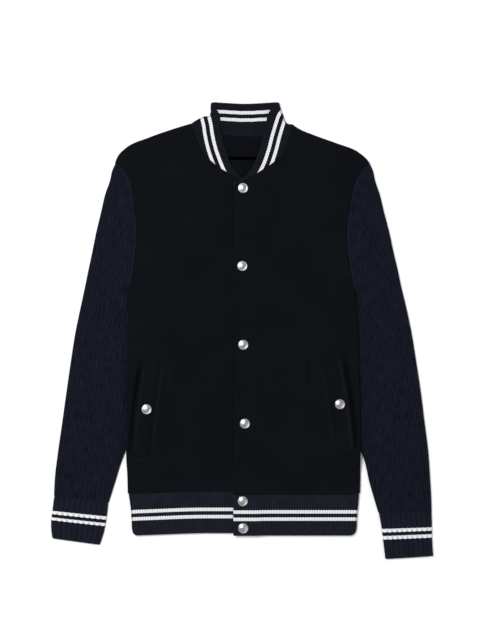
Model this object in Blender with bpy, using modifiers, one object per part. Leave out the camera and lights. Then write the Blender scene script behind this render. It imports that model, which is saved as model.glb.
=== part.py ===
"""Knit bomber jacket, laid flat on its back with its snaps closed.

X runs across the jacket to the wearer's left sleeve, Y from hem to collar, and Z up from the
surface that it lies on. The origin is the middle of the outline, on that surface. The wearer's
left front closes over the right one. Sizes are in millimetres, and become metres in each mesh.
"""

import math

import bmesh
import bpy
import numpy as np
from mathutils import Vector
from mathutils.bvhtree import BVHTree

for old in list(bpy.data.objects):
    bpy.data.objects.remove(old)

jacket = bpy.data.collections.new("knit_bomber_jacket")
bpy.context.scene.collection.children.link(jacket)

MM = 0.001
SEAM_GAP = 0.3  # between pieces that are sewn to each other

# Cloth: the felted body, the ribbed sleeves and the ribbed bands
BODY_WALL = 2.2
LAYER_GAP = 1.6  # between the back and the fronts that lie on it
FRONT_BASE = BODY_WALL + LAYER_GAP
FACING_WALL = 1.0
WELT_WALL = 1.4
LYING_GAP = 0.5  # under a welt or a snap cap

SLEEVE_BACK = 1.8
SLEEVE_BASE = 2.8  # underside of the sleeve's upper layer
SLEEVE_FRONT = 1.6
SLEEVE_RELIEF = 1.2  # how far a rib stands above its groove
SLEEVE_FOLD = 2.6  # how far in from its edge a folded sleeve is full height
SLEEVE_PITCH = 7.0
SLEEVE_FIRST_GROOVE = 4.8  # from the outer fold
SLEEVE_RIBBED_WIDTH = 105.0  # the rest lies under the body

BAND_WALL = 2.4
BAND_RELIEF = 0.6
BAND_PITCH = 4.2
BAND_FOLD = 3.2
BACK_COLUMNS = 10  # of a band's plain back
INNER_COLUMNS = (14, 16)  # of the plain inner faces of its right and left front
FOLD_CORNER = (0.9, 0.18)  # a folded edge's rounding: how far in, and share of its height

CUFF_RIBS = 10
RIB_FLAT = (0.3, 0.7)  # where a rib's flat top starts and ends, as a share of the pitch

# Closing edges and the hem seam
CLOSING_EDGE_X = -14.5  # edge of the wearer's left front, on top
UNDER_EDGE_X = 16.1  # edge of the right front, below it
HEM_SEAM_Y = -262.0

# The closing front, and the bands' closing ends, lie on what they cover
OVERLAP_LIFT = 3.3
OVERLAP_FULL_X = 20.0
OVERLAP_NONE_X = 41.0

# How a sleeve that lies under the body's side lifts it
SIDE_LIFT = 6.4
LIFT_MARGIN = 8.0
LIFT_FALL = 55.0
LIFT_START = (80.0, 57.0)  # from nothing to full, going down from the underarm
LIFT_END = (-198.0, -232.0)  # from full to nothing, above the hem

EDGE_SLOPE = 12.0  # how far in from a sewn edge the fronts rise to their full height
PANEL_COLUMN = 16.0  # widest step between a panel's columns
SIDE_BEND = 120.0  # how far in from an armhole a panel's columns bend with it

# Sleeve sections, from the shoulder tip down. Each runs from the outer fold to the armhole
# seam, and from the eighth on to the inner fold, which lies under the body as far as the elbow.
# Columns: outer x, outer y, inner x, inner y, with x counted away from the jacket's middle.
ARMHOLE_SECTIONS = 8
RIGHT_SLEEVE = (
    (205.2, 267.6, 197.5, 265.1),
    (209.8, 257.0, 184.3, 248.7),
    (213.4, 241.0, 177.9, 229.4),
    (220.8, 220.0, 174.1, 205.3),
    (227.8, 190.0, 170.6, 174.7),
    (235.8, 156.5, 170.8, 140.9),
    (242.0, 125.7, 173.2, 110.3),
    (248.6, 94.7, 178.2, 79.7),
    (253.2, 72.0, 182.9, 57.0),
    (259.8, 41.0, 167.0, 22.0),
    (268.7, -1.5, 152.0, -22.0),
    (275.9, -47.0, 148.0, -68.0),
    (283.4, -99.0, 157.0, -117.0),
    (290.6, -151.0, 176.5, -166.0),
    (297.0, -195.6, 193.5, -207.7),
    (302.0, -237.5, 205.3, -245.5),
    (303.4, -267.5, 215.3, -277.2),
)
LEFT_SLEEVE = (
    (205.6, 267.6, 197.5, 265.1),
    (210.2, 257.0, 186.0, 248.7),
    (213.8, 241.0, 178.7, 229.4),
    (220.9, 220.0, 173.1, 205.3),
    (228.3, 190.0, 168.8, 174.7),
    (236.9, 156.5, 168.3, 140.9),
    (243.5, 125.7, 171.5, 110.3),
    (250.8, 94.7, 176.9, 79.7),
    (255.5, 72.0, 182.1, 57.0),
    (263.0, 41.0, 167.0, 22.0),
    (272.0, -1.5, 153.0, -22.0),
    (279.4, -47.0, 150.0, -68.0),
    (287.3, -99.0, 159.0, -117.0),
    (293.8, -151.0, 178.0, -166.0),
    (299.4, -195.6, 196.0, -208.0),
    (302.3, -237.5, 204.8, -245.5),
    (304.0, -267.5, 212.0, -270.5),
    (304.8, -292.6, 219.0, -293.6),
)

# Cuff sections, in the same columns
RIGHT_CUFF = (
    (303.2, -267.9, 216.0, -277.5),
    (306.0, -290.0, 218.4, -299.0),
    (308.2, -312.0, 222.5, -322.0),
    (305.9, -334.5, 229.7, -344.9),
)
LEFT_CUFF = (
    (304.6, -292.9, 219.7, -293.9),
    (305.2, -312.0, 223.6, -314.5),
    (305.6, -336.0, 226.8, -339.5),
    (307.4, -363.0, 230.2, -367.9),
)

# The body's side seams from the hem up to the underarm: y, right x, left x
BODY_SIDE = (
    (-262.0, -184.6, 189.3),
    (-232.0, -185.3, 190.0),
    (-215.0, -186.2, 190.0),
    (-198.0, -186.7, 190.0),
    (-160.0, -186.4, 189.3),
    (-120.0, -186.0, 188.6),
    (-75.0, -185.2, 187.4),
    (-30.0, -184.2, 186.0),
    (10.0, -183.4, 184.4),
    (35.0, -182.8, 182.8),
    (57.0, -182.0, 181.2),
)

# Shoulder lines, from the shoulder tip to the neck: x, y
RIGHT_SHOULDER = ((-200.5, 280.5), (-185.5, 295.4), (-150.0, 310.8), (-112.0, 324.2))
LEFT_SHOULDER = ((200.0, 275.7), (185.5, 287.8), (150.0, 302.0), (112.0, 315.8), (91.0, 324.8))

# Neck seams, from the neck point round to the closing edge, and round the back: x, y
RIGHT_NECK = (
    (-82.1, 333.3),
    (-74.5, 311.5),
    (-67.0, 294.0),
    (-58.0, 280.5),
    (-50.0, 272.6),
    (-42.5, 266.2),
    (-34.0, 260.2),
    (-25.5, 255.2),
    (-12.9, 248.4),
    (1.6, 241.2),
    (UNDER_EDGE_X, 234.8),
)
LEFT_NECK = (
    (79.7, 332.4),
    (75.7, 314.8),
    (70.3, 297.0),
    (62.8, 282.8),
    (54.8, 274.2),
    (46.5, 267.8),
    (38.0, 262.0),
    (29.5, 256.6),
    (18.0, 249.4),
    (2.0, 240.0),
    (CLOSING_EDGE_X, 232.0),
)
BACK_NECK = (
    (-82.1, 333.3),
    (-59.6, 322.8),
    (-32.2, 314.8),
    (4.8, 311.5),
    (41.9, 314.8),
    (61.2, 322.8),
    (79.7, 332.4),
)

# The collar's free edge, from the folded corners round to the closing edge, and at the back
RIGHT_COLLAR_TOP = (
    (-49.9, 367.9),
    (-42.2, 353.5),
    (-37.2, 336.0),
    (-34.2, 317.0),
    (-28.9, 295.0),
    (-22.6, 277.5),
    (-13.4, 258.0),
    (0.5, 245.0),
    (UNDER_EDGE_X, 240.0),
)
LEFT_COLLAR_TOP = (
    (58.8, 367.9),
    (46.0, 353.0),
    (40.5, 337.5),
    (34.5, 317.0),
    (29.0, 296.0),
    (23.0, 277.5),
    (13.0, 257.5),
    (1.0, 244.5),
    (CLOSING_EDGE_X, 239.0),
)
BACK_COLLAR_TOP = (
    (-49.9, 367.9),
    (-22.5, 366.2),
    (4.8, 365.0),
    (32.2, 366.2),
    (58.8, 367.9),
)
COLLAR_ROWS = (0.0, 0.25, 0.5, 0.75, 1.0)  # shares of the collar's height

# The collar's folded side edges: share of its height, x, y
RIGHT_COLLAR_FOLD = (
    (0.0, -82.1, 333.3),
    (0.3, -69.0, 341.4),
    (0.45, -62.0, 344.6),
    (0.56, -53.6, 346.0),
    (0.68, -51.2, 350.8),
    (0.84, -51.4, 359.0),
    (1.0, -49.9, 367.9),
)
LEFT_COLLAR_FOLD = (
    (0.0, 79.7, 332.4),
    (0.15, 71.6, 333.8),
    (0.3, 68.6, 337.6),
    (0.42, 67.2, 341.8),
    (0.55, 65.4, 347.0),
    (0.7, 63.0, 353.2),
    (1.0, 58.8, 367.9),
)

# The hem band's folded sides, from the seam down, with its rounded corners: y, right x, left x
HEM_ROWS = (
    (-262.3, -183.4, 188.0),
    (-306.7, -178.4, 184.4),
    (-321.0, -177.5, 183.3),
    (-326.5, -175.9, 181.0),
    (-329.8, -171.8, 176.0),
)

# Slanted pocket welts, corners in turn from the top of the opening: x, y
RIGHT_WELT = ((-161.5, -50.0), (-130.9, -46.5), (-150.3, -204.0), (-179.0, -200.0))
LEFT_WELT = ((159.5, -38.0), (130.5, -44.0), (152.5, -200.0), (182.0, -194.0))
WELT_COLUMN = 8.0

# The half-moon facing inside the back of the neck
FACING_HALF_WIDTH = 58.0
FACING_EDGE_Y = 278.5
FACING_EDGE_RISE = 14.0

# Snap caps: name, x, y, and the node that each one rests on
SNAPS = (
    ("snap_front_1", 1.0, 228.8, "front_left"),
    ("snap_front_2", 0.0, 103.7, "front_left"),
    ("snap_front_3", 1.4, -22.9, "front_left"),
    ("snap_front_4", 4.0, -149.4, "front_left"),
    ("snap_hem_1", 0.5, -273.9, "hem_band"),
    ("snap_hem_2", 1.3, -317.3, "hem_band"),
    ("snap_pocket_right", -153.6, -126.1, "welt_right"),
    ("snap_pocket_left", 156.3, -118.0, "welt_left"),
)
SNAP_PROFILE = (
    (0.0, 2.8),
    (4.2, 2.5),
    (6.9, 1.8),
    (8.2, 0.9),
    (8.4, 0.4),
    (7.9, 0.0),
    (0.0, 0.0),
)
SNAP_STEPS = 16

# Looks: display colour, roughness, metallic
FELT = ((18, 19, 23), 0.95, 0.0)
LINING = ((16, 17, 22), 0.9, 0.0)
SLEEVE_RIB = ((23, 26, 36), 0.9, 0.0)
BAND_RIB = ((28, 30, 40), 0.9, 0.0)
SNAP_METAL = ((196, 198, 200), 0.25, 1.0)

# Which way each side lies from the middle, and its sleeve
SIDES = {"right": (-1, RIGHT_SLEEVE), "left": (1, LEFT_SLEEVE)}


# ---------------------------------------------------------------- lines and heights


def ease(t):
    """A smooth step from 0 to 1."""
    t = np.clip(t, 0.0, 1.0)
    return t * t * (3 - 2 * t)


def lengths(line):
    """How far along a line each of its points is."""
    steps = np.linalg.norm(np.diff(line, axis=0), axis=1)
    return np.concatenate([[0.0], np.cumsum(steps)])


def along(line, distances):
    """The places at these distances along a line."""
    line = np.asarray(line, float)
    travel = lengths(line)
    return np.column_stack([np.interp(distances, travel, line[:, k]) for k in range(2)])


def spread(line, count):
    """A line with this many points, evenly spaced."""
    return along(line, np.linspace(0, lengths(np.asarray(line, float))[-1], count))


def beside(line, distance):
    """A line moved to the left of its direction."""
    line = np.asarray(line, float)
    steps = np.diff(line, axis=0)
    steps /= np.linalg.norm(steps, axis=1, keepdims=True)
    normals = np.column_stack([-steps[:, 1], steps[:, 0]])
    corners = np.vstack([normals[:1], normals[:-1] + normals[1:], normals[-1:]])
    corners /= np.linalg.norm(corners, axis=1, keepdims=True)
    return line + corners * distance


def filled(line, step):
    """A line with points added wherever they are further apart than a step across."""
    points = [line[0]]
    for start, end in zip(line[:-1], line[1:]):
        cells = max(1, math.ceil(abs(end[0] - start[0]) / step))
        points += [start + (end - start) * k / cells for k in range(1, cells + 1)]
    return np.array(points)


def sleeve_lift(x, y):
    """How far the sleeves under the body's sides lift the cloth at a place."""
    lift = np.zeros_like(x)
    below_underarm = ease((LIFT_START[0] - y) / (LIFT_START[0] - LIFT_START[1]))
    above_hem = ease((y - LIFT_END[1]) / (LIFT_END[0] - LIFT_END[1]))
    for side, sections in SIDES.values():
        fold = np.array(sections)[:ARMHOLE_SECTIONS:-1, 2:]
        start = np.interp(y, fold[:, 1], fold[:, 0]) - LIFT_MARGIN - LIFT_FALL
        lift += SIDE_LIFT * ease((side * x - start) / LIFT_FALL)
    return lift * below_underarm * above_hem


def overlap_lift(x):
    """How far a closing edge lies above what it covers."""
    return OVERLAP_LIFT * ease((OVERLAP_NONE_X - x) / (OVERLAP_NONE_X - OVERLAP_FULL_X))


# ---------------------------------------------------------------- objects


def linear(value):
    """One channel of a display colour, 0 to 255, as light."""
    value /= 255
    return value / 12.92 if value <= 0.04045 else ((value + 0.055) / 1.055) ** 2.4


def new_object(name, mesh, look):
    """An object with a material of its own."""
    colour, roughness, metallic = look
    material = bpy.data.materials.new(f"{name}_look")
    material.use_nodes = True
    shader = material.node_tree.nodes["Principled BSDF"]
    shader.inputs["Base Color"].default_value = (*map(linear, colour), 1)
    shader.inputs["Roughness"].default_value = roughness
    shader.inputs["Metallic"].default_value = metallic
    mesh.materials.append(material)
    made = bpy.data.objects.new(name, mesh)
    jacket.objects.link(made)
    return made


def grid_faces(start, rows, columns):
    """The faces of a grid whose points are numbered row by row."""
    first = start + np.arange(rows - 1)[:, None] * columns + np.arange(columns - 1)
    quads = np.stack([first, first + 1, first + columns + 1, first + columns], axis=-1)
    return quads.reshape(-1, 4).tolist()


def closed_object(name, work, look):
    """An object from a closed bmesh, its faces turned outwards."""
    bmesh.ops.recalc_face_normals(work, faces=work.faces)
    mesh = bpy.data.meshes.new(name)
    work.to_mesh(mesh)
    work.free()
    return new_object(name, mesh, look)


def new_bmesh(points, faces):
    work = bmesh.new()
    corners = [work.verts.new(point) for point in points * MM]
    for face in faces:
        work.faces.new([corners[k] for k in face])
    return work


def sheet(name, plan, base, thickness, look):
    """A panel: a surface at these heights, extruded upwards."""
    work = new_bmesh(np.dstack([plan, base]).reshape(-1, 3), grid_faces(0, *base.shape))
    grown = bmesh.ops.extrude_face_region(work, geom=work.faces[:], use_keep_orig=True)
    upper = [part for part in grown["geom"] if isinstance(part, bmesh.types.BMVert)]
    bmesh.ops.translate(work, vec=(0, 0, thickness * MM), verts=upper)
    return closed_object(name, work, look)


def zip_faces(first, second, points):
    """Triangles between two lines of numbered points, each across the shorter diagonal."""
    faces = []
    i = j = 0
    while i < len(first) - 1 or j < len(second) - 1:
        on_first = math.dist(points[first[min(i + 1, len(first) - 1)]], points[second[j]])
        on_second = math.dist(points[first[i]], points[second[min(j + 1, len(second) - 1)]])
        second_done = j == len(second) - 1
        if second_done or (i < len(first) - 1 and on_first <= on_second):
            faces.append([first[i], first[i + 1], second[j]])
            i += 1
        else:
            faces.append([first[i], second[j + 1], second[j]])
            j += 1
    return faces


def wall(name, outside, inside, open_rows, look):
    """A cloth wall between an outer and an inner grid of points with the same rows.

    The strip has free ends for the first open_rows steps. After them its ends meet, and it
    is a tube.
    """
    points = np.vstack([outside.reshape(-1, 3), inside.reshape(-1, 3)])
    outer = np.arange(outside[..., 0].size).reshape(outside.shape[:2])
    inner = np.arange(outer.size, len(points)).reshape(inside.shape[:2])
    faces = grid_faces(0, *outer.shape) + grid_faces(outer.size, *inner.shape)
    for row in (0, -1):
        faces += zip_faces(outer[row], inner[row], points)
    for row in range(open_rows):
        for end in (0, -1):
            faces.append([*outer[row : row + 2, end], *inner[row : row + 2, end][::-1]])
    work = new_bmesh(points, faces)
    bmesh.ops.remove_doubles(work, verts=work.verts, dist=0.001 * MM)
    return closed_object(name, work, look)


# ---------------------------------------------------------------- body panels


def side_edge(name):
    """A panel's edge up its side seam and armhole to the shoulder tip, clear of the sleeve."""
    side, sections = SIDES[name]
    seam = [(row[1 if side < 0 else 2], row[0]) for row in BODY_SIDE]
    armhole = [(side * row[2], row[3]) for row in sections[:ARMHOLE_SECTIONS][::-1]]
    tip = (side * sections[0][0], sections[0][1])
    return np.vstack([seam, beside([*armhole, tip], side * SEAM_GAP)])


def closing_edge(x, top_y, side):
    """A front's straight edge, with a point for each one on its side."""
    rise = (side[:, 1] - HEM_SEAM_Y) / (side[-1, 1] - HEM_SEAM_Y)
    return np.column_stack([np.full(len(side), x), HEM_SEAM_Y + rise * (top_y - HEM_SEAM_Y)])


def panel_plan(near, far, top):
    """Plan of a panel between two side edges and its top edge.

    Its columns run straight up from the hem seam, but near a side edge they bend with it.
    """
    share = (top[:, 0] - top[0, 0]) / (top[-1, 0] - top[0, 0])
    rises = [(edge[:, 1:] - HEM_SEAM_Y) / (edge[-1, 1] - HEM_SEAM_Y) for edge in (near, far)]
    rise = rises[0] * (1 - share) + rises[1] * share
    start = near[0, 0] * (1 - share) + far[0, 0] * share
    x = start + rise * (top[:, 0] - start)
    for edge, column in ((near, 0), (far, -1)):
        bend = edge[:, :1] - x[:, column : column + 1 or None]
        x = x + bend * ease(1 - np.abs(top[:, 0] - edge[-1, 0]) / SIDE_BEND)
    return np.dstack([x, HEM_SEAM_Y + rise * (top[:, 1] - HEM_SEAM_Y)])


def clear_height(plan, sewn_edges):
    """The air between back and front: very little where they are sewn, and full further in."""
    line = np.vstack([spread(edge, 120) for edge in sewn_edges])
    away = np.linalg.norm(plan[:, :, None] - line, axis=-1).min(axis=-1)
    return SEAM_GAP + (LAYER_GAP - SEAM_GAP) * ease(away / EDGE_SLOPE)


def make_back():
    right, left = side_edge("right"), side_edge("left")
    neck = beside(BACK_NECK, -SEAM_GAP)
    top = np.vstack([right[-1:], RIGHT_SHOULDER, neck, LEFT_SHOULDER[::-1], left[-1:]])
    plan = panel_plan(right, left, filled(top, PANEL_COLUMN))
    return sheet("back", plan, sleeve_lift(plan[..., 0], plan[..., 1]), BODY_WALL, FELT)


def make_front(name, shoulder, neck):
    side = side_edge(name)
    neck = beside(neck, SIDES[name][0] * SEAM_GAP)
    seam = np.vstack([side[-1:], shoulder, neck[:1]])
    top = filled(np.vstack([seam, neck[1:]]), PANEL_COLUMN)
    plan = panel_plan(side, closing_edge(*top[-1], side), top)
    base = sleeve_lift(plan[..., 0], plan[..., 1]) + BODY_WALL + clear_height(plan, (side, seam))
    if name == "left":
        base += overlap_lift(plan[..., 0])
        plan, base = plan[:, ::-1], base[:, ::-1]
    return sheet(f"front_{name}", plan, base, BODY_WALL, FELT)


def make_facing():
    share = np.linspace(-1, 1, 15)
    x = share * FACING_HALF_WIDTH + BACK_NECK[3][0] / 2
    seam = beside(BACK_NECK, -2 * SEAM_GAP)
    upper = np.interp(x, seam[:, 0], seam[:, 1])
    lower = FACING_EDGE_Y + FACING_EDGE_RISE * np.abs(share) ** 3
    rise = np.linspace(0, 1, 4)[:, None]
    plan = np.dstack([x + 0 * rise, lower * (1 - rise) + upper * rise])
    base = np.full(plan.shape[:2], BODY_WALL + SEAM_GAP)
    return sheet("neck_facing", plan, base, FACING_WALL, LINING)


# ---------------------------------------------------------------- sleeves and cuffs


def rib_profile(count, pitch):
    """Places of the corners of ribs side by side, and 1 on a rib's flat top and 0 in a groove."""
    places = (np.arange(count)[:, None] + (0.0, *RIB_FLAT)).ravel() * pitch
    return np.append(places, count * pitch), np.append(np.tile([0.0, 1.0, 1.0], count), 0.0)


def tube_face(section, columns):
    """One face of a section, from columns of (distance from the outer fold, height)."""
    outer_fold, inner_edge = np.array(section[:2]), np.array(section[2:])
    across, height = np.array(columns).T
    direction = (inner_edge - outer_fold) / np.linalg.norm(inner_edge - outer_fold)
    return np.column_stack([outer_fold + across[:, None] * direction, height])


def tube_section(section, is_open, places, tops):
    """Outer and inner face of one section of a sleeve or cuff that lies flat.

    Each starts at the inner edge of the upper layer, goes round the outer fold and ends at
    the inner edge of the lower layer.
    """
    width = math.dist(section[:2], section[2:])
    top = SLEEVE_BASE + SLEEVE_FRONT
    near, low = FOLD_CORNER
    end = width - SLEEVE_FOLD
    ribbed = places < end - 1.0
    ribs = np.column_stack([np.where(ribbed, places, end), top + SLEEVE_RELIEF * tops * ribbed])
    edge = (top, top, 0, 0) if is_open else (top / 2, top * (1 - low), top * low, top / 2)
    thirds = SLEEVE_FOLD + (end - SLEEVE_FOLD) * np.array([1, 2]) / 3
    upper = [(width, edge[0]), (width - near, edge[1]), (end, top), *ribs[::-1]]
    upper += [(SLEEVE_FOLD, top + SLEEVE_RELIEF / 2), (near, top * (1 - low)), (0, top / 2)]
    lower = [(near, top * low), (SLEEVE_FOLD, 0), (thirds[0], 0), (thirds[1], 0)]
    lower += [(end, 0), (width - near, edge[2]), (width, edge[3])]

    hollow = (SLEEVE_BASE + SLEEVE_BACK) / 2
    inset = SLEEVE_BACK + 1.0
    spots = [width - inset, *thirds[::-1], inset]
    shut = width if is_open else width - SLEEVE_BACK
    levels = (SLEEVE_BASE, SLEEVE_BACK) if is_open else (hollow, hollow)
    inner_upper = [(shut, levels[0])] + [(spot, SLEEVE_BASE) for spot in spots]
    inner_upper.append((SLEEVE_BACK, hollow))
    inner_lower = [(spot, SLEEVE_BACK) for spot in spots[::-1]] + [(shut, levels[1])]
    return tube_face(section, upper + lower), tube_face(section, inner_upper + inner_lower)


def make_tube(name, side, rows, open_rows, look):
    """A ribbed tube through rows of (section, rib places, rib tops), open for its first rows."""
    faces = [tube_section(row[0], k < open_rows, *row[1:]) for k, row in enumerate(rows)]
    outside, inside = (np.array([pair[face] for pair in faces]) for face in (0, 1))
    outside[..., 0] *= side
    inside[..., 0] *= side
    return wall(name, outside, inside, open_rows, look)


def make_sleeve(name):
    """Ribs run down the sleeve at a constant distance from its outer fold."""
    side, sections = SIDES[name]
    places, tops = rib_profile(int(SLEEVE_RIBBED_WIDTH / SLEEVE_PITCH), SLEEVE_PITCH)
    rows = [(section, places + SLEEVE_FIRST_GROOVE, tops) for section in sections]
    return make_tube(f"sleeve_{name}", side, rows, ARMHOLE_SECTIONS, SLEEVE_RIB)


def make_cuff(name, sections):
    """Ribs share the cuff's width; the two outermost ones are its folds."""
    places, tops = (values[2:-2] for values in rib_profile(CUFF_RIBS, 1 / CUFF_RIBS))
    rows = []
    for section in sections:
        width = math.dist(section[:2], section[2:])
        rows.append((section, places * width, tops))
    return make_tube(f"cuff_{name}", SIDES[name][0], rows, 0, BAND_RIB)


# ---------------------------------------------------------------- bands

# A band is a strip in three stretches: the under front end to the right fold, the back, and
# the left fold to the closing end. A column is (stretch, share of its length, millimetres
# more, height).


def rib_stretch(stretch, count, height, relief):
    """Columns spread over a stretch, clear of its folds, every other one raised."""
    reach = BAND_FOLD + BAND_PITCH / 3
    share = np.linspace(0, 1, count)
    inset = (-share, 1 - 2 * share, 1 - share)[stretch] * reach
    raised = relief * (np.arange(count) % 2)
    return np.column_stack([np.full(count, stretch), share, inset, height + raised])


def fold_columns(profile, front):
    """Columns round the fold between one front stretch and the back, in the strip's direction."""
    opens = front == 2  # the left front starts at its fold, the right one ends there
    inwards = 1 if opens else -1
    half = len(profile) // 2
    columns = [
        (front, float(not opens), inwards * inset, height) for inset, height in profile[:half]
    ]
    columns += [(1, float(opens), -inwards * inset, height) for inset, height in profile[half:]]
    return columns[::-1] if opens else columns


def band_faces(counts, back_is_ribbed):
    """The columns of a band's outer face and inner face.

    A rib is two columns. The back is ribbed only where its inner face shows.
    """
    top = FRONT_BASE + BAND_WALL
    near, low = FOLD_CORNER
    crest = top + BAND_RELIEF / 2
    outer = (
        (BAND_FOLD, crest),
        (near, top * (1 - low)),
        (0, top / 2),
        (near, top * low),
        (BAND_FOLD, 0),
    )
    inset = BAND_WALL + 1.0
    hollow = (FRONT_BASE + BAND_WALL) / 2
    inner = ((inset, FRONT_BASE), (BAND_WALL, hollow), (inset, BAND_WALL))
    back = (BACK_COLUMNS, BAND_WALL, 0)
    if back_is_ribbed:
        back = (counts[1], BAND_WALL, BAND_RELIEF)
    outside = [
        rib_stretch(0, counts[0], top, BAND_RELIEF),
        fold_columns(outer, 0),
        rib_stretch(1, BACK_COLUMNS, 0, 0),
        fold_columns(outer, 2),
        rib_stretch(2, counts[2], top, BAND_RELIEF),
    ]
    inside = [
        rib_stretch(0, INNER_COLUMNS[0], FRONT_BASE, 0),
        fold_columns(inner, 0),
        rib_stretch(1, *back),
        fold_columns(inner, 2),
        rib_stretch(2, INNER_COLUMNS[1], FRONT_BASE, 0),
    ]
    return np.vstack(outside), np.vstack(inside)


def band_row(lines, columns):
    """Points of one row of a band's face."""
    points = np.empty((len(columns), 3))
    for stretch, line in enumerate(lines):
        here = columns[:, 0] == stretch
        points[here, :2] = along(line, columns[here, 1] * lengths(line)[-1] + columns[here, 2])
        points[here, 2] = columns[here, 3]
        if stretch == 2:
            points[here, 2] += overlap_lift(points[here, 0])
    return points


def make_band(name, rows, back_is_ribbed):
    """A ribbed strip through its rows, each given as three lines in plan."""
    counts = [2 * round(lengths(line)[-1] / BAND_PITCH) + 1 for line in rows[0]]
    outside, inside = (
        np.array([band_row(lines, columns) for lines in rows])
        for columns in band_faces(counts, back_is_ribbed)
    )
    return wall(name, outside, inside, len(rows) - 1, BAND_RIB)


def hem_rows():
    rows = []
    for y, right, left in HEM_ROWS:
        stops = (UNDER_EDGE_X, right, left, CLOSING_EDGE_X)
        rows.append([np.array([(start, y), (end, y)]) for start, end in zip(stops, stops[1:])])
    return rows


def between(low, high, rise, ends):
    """A line part of the way from one line to another, with its ends drawn to given places."""
    low, high = spread(low, 41), spread(high, 41)
    line = low * (1 - rise) + high * rise
    share = np.linspace(0, 1, len(line))[:, None]
    for end, weight in zip(ends, (1 - share, share)):
        if end is not None:
            line = line + weight**3 * (end - line[0 if weight[0] else -1])
    return line


def collar_rows():
    rows = []
    for rise in COLLAR_ROWS:
        right, left = (
            np.array([np.interp(rise, *np.array(fold)[:, (0, k)].T) for k in (1, 2)])
            for fold in (RIGHT_COLLAR_FOLD, LEFT_COLLAR_FOLD)
        )
        rows.append(
            (
                between(RIGHT_NECK, RIGHT_COLLAR_TOP, rise, (right, None))[::-1],
                between(BACK_NECK, BACK_COLLAR_TOP, rise, (right, left)),
                between(LEFT_NECK, LEFT_COLLAR_TOP, rise, (left, None)),
            )
        )
    return rows


# ---------------------------------------------------------------- trim


def surface_of(made):
    return BVHTree.FromObject(made, bpy.context.evaluated_depsgraph_get())


def height_at(surface, x, y):
    """Height of the highest cloth at a place."""
    place = surface.ray_cast(Vector((x * MM, y * MM, 1.0)), Vector((0, 0, -1)))[0]
    return place.z / MM


def make_welt(name, corners, front):
    """A strip with four corners, made from the front's surface moved out."""
    surface = surface_of(front)
    top, bottom = np.array(corners[:2]), np.array(corners[:1:-1])
    rows = math.ceil(math.dist(corners[1], corners[2]) / WELT_COLUMN)
    share = np.linspace(0, 1, rows + 1)[:, None, None]
    across = np.linspace(0, 1, 5)[:, None]
    plan = (top[0] + (top[1] - top[0]) * across) * (1 - share)
    plan = plan + (bottom[0] + (bottom[1] - bottom[0]) * across) * share
    base = np.array([[height_at(surface, *point) for point in row] for row in plan])
    return sheet(f"welt_{name}", plan, base + LYING_GAP, WELT_WALL, FELT)


def snap_mesh():
    """A plain domed cap, turned round its middle."""
    profile = bpy.data.meshes.new("snap_profile")
    points = [(radius * MM, 0, height * MM) for radius, height in SNAP_PROFILE]
    profile.from_pydata(points, [(k, k + 1) for k in range(len(points) - 1)], [])
    turned = new_object("snap_cap", profile, SNAP_METAL)
    screw = turned.modifiers.new("Turned", "SCREW")
    screw.steps = screw.render_steps = SNAP_STEPS
    screw.use_merge_vertices = True
    screw.merge_threshold = 0.00001
    depsgraph = bpy.context.evaluated_depsgraph_get()
    mesh = bpy.data.meshes.new_from_object(turned.evaluated_get(depsgraph))
    bpy.data.objects.remove(turned)
    return mesh


def make_snap(name, x, y, mesh, carrier):
    """A cap lying on the cloth, square to it and clear of its ribs."""
    surface = surface_of(carrier)
    rim = SNAP_PROFILE[4][0]
    ring = [(x, y)] + [
        (x + rim * math.cos(turn), y + rim * math.sin(turn))
        for turn in np.linspace(0, math.tau, 12, endpoint=False)
    ]
    heights = np.array([height_at(surface, *spot) for spot in ring])
    offsets = np.array(ring) - (x, y)
    slope = 2 * (offsets[1:] * (heights[1:, None] - heights[1:].mean())).mean(axis=0) / rim**2
    level = (heights - offsets @ slope).max()
    cap = bpy.data.objects.new(name, mesh)
    cap.location = Vector((x, y, level + LYING_GAP)) * MM
    cap.rotation_euler = Vector((-slope[0], -slope[1], 1)).to_track_quat("Z", "Y").to_euler()
    jacket.objects.link(cap)
    return cap


# ---------------------------------------------------------------- the jacket

carriers = {
    "front_left": make_front("left", LEFT_SHOULDER, LEFT_NECK),
    "hem_band": make_band("hem_band", hem_rows(), back_is_ribbed=False),
}
make_back()
make_facing()
carriers["welt_right"] = make_welt(
    "right", RIGHT_WELT, make_front("right", RIGHT_SHOULDER, RIGHT_NECK)
)
carriers["welt_left"] = make_welt("left", LEFT_WELT, carriers["front_left"])
make_band("collar", collar_rows(), back_is_ribbed=True)
make_sleeve("right")
make_sleeve("left")
make_cuff("right", RIGHT_CUFF)
make_cuff("left", LEFT_CUFF)

cap = snap_mesh()
for name, x, y, carrier in SNAPS:
    make_snap(name, x, y, cap, carriers[carrier])
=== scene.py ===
# %% [markdown]
# # A knit bomber jacket, laid flat
#
# The jacket lies on its back with its snaps closed: felted body, ribbed sleeves, and striped rib
# bands at the neck, hem and cuffs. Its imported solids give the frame, and each piece below takes
# the place of one of them with finer cloth. Sizes are in millimetres, x to the wearer's left
# sleeve, y from hem to collar, z up from the surface that it lies on.

import math

import bmesh
import bpy
import numpy as np
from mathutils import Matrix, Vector
from mathutils.bvhtree import BVHTree


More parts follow.
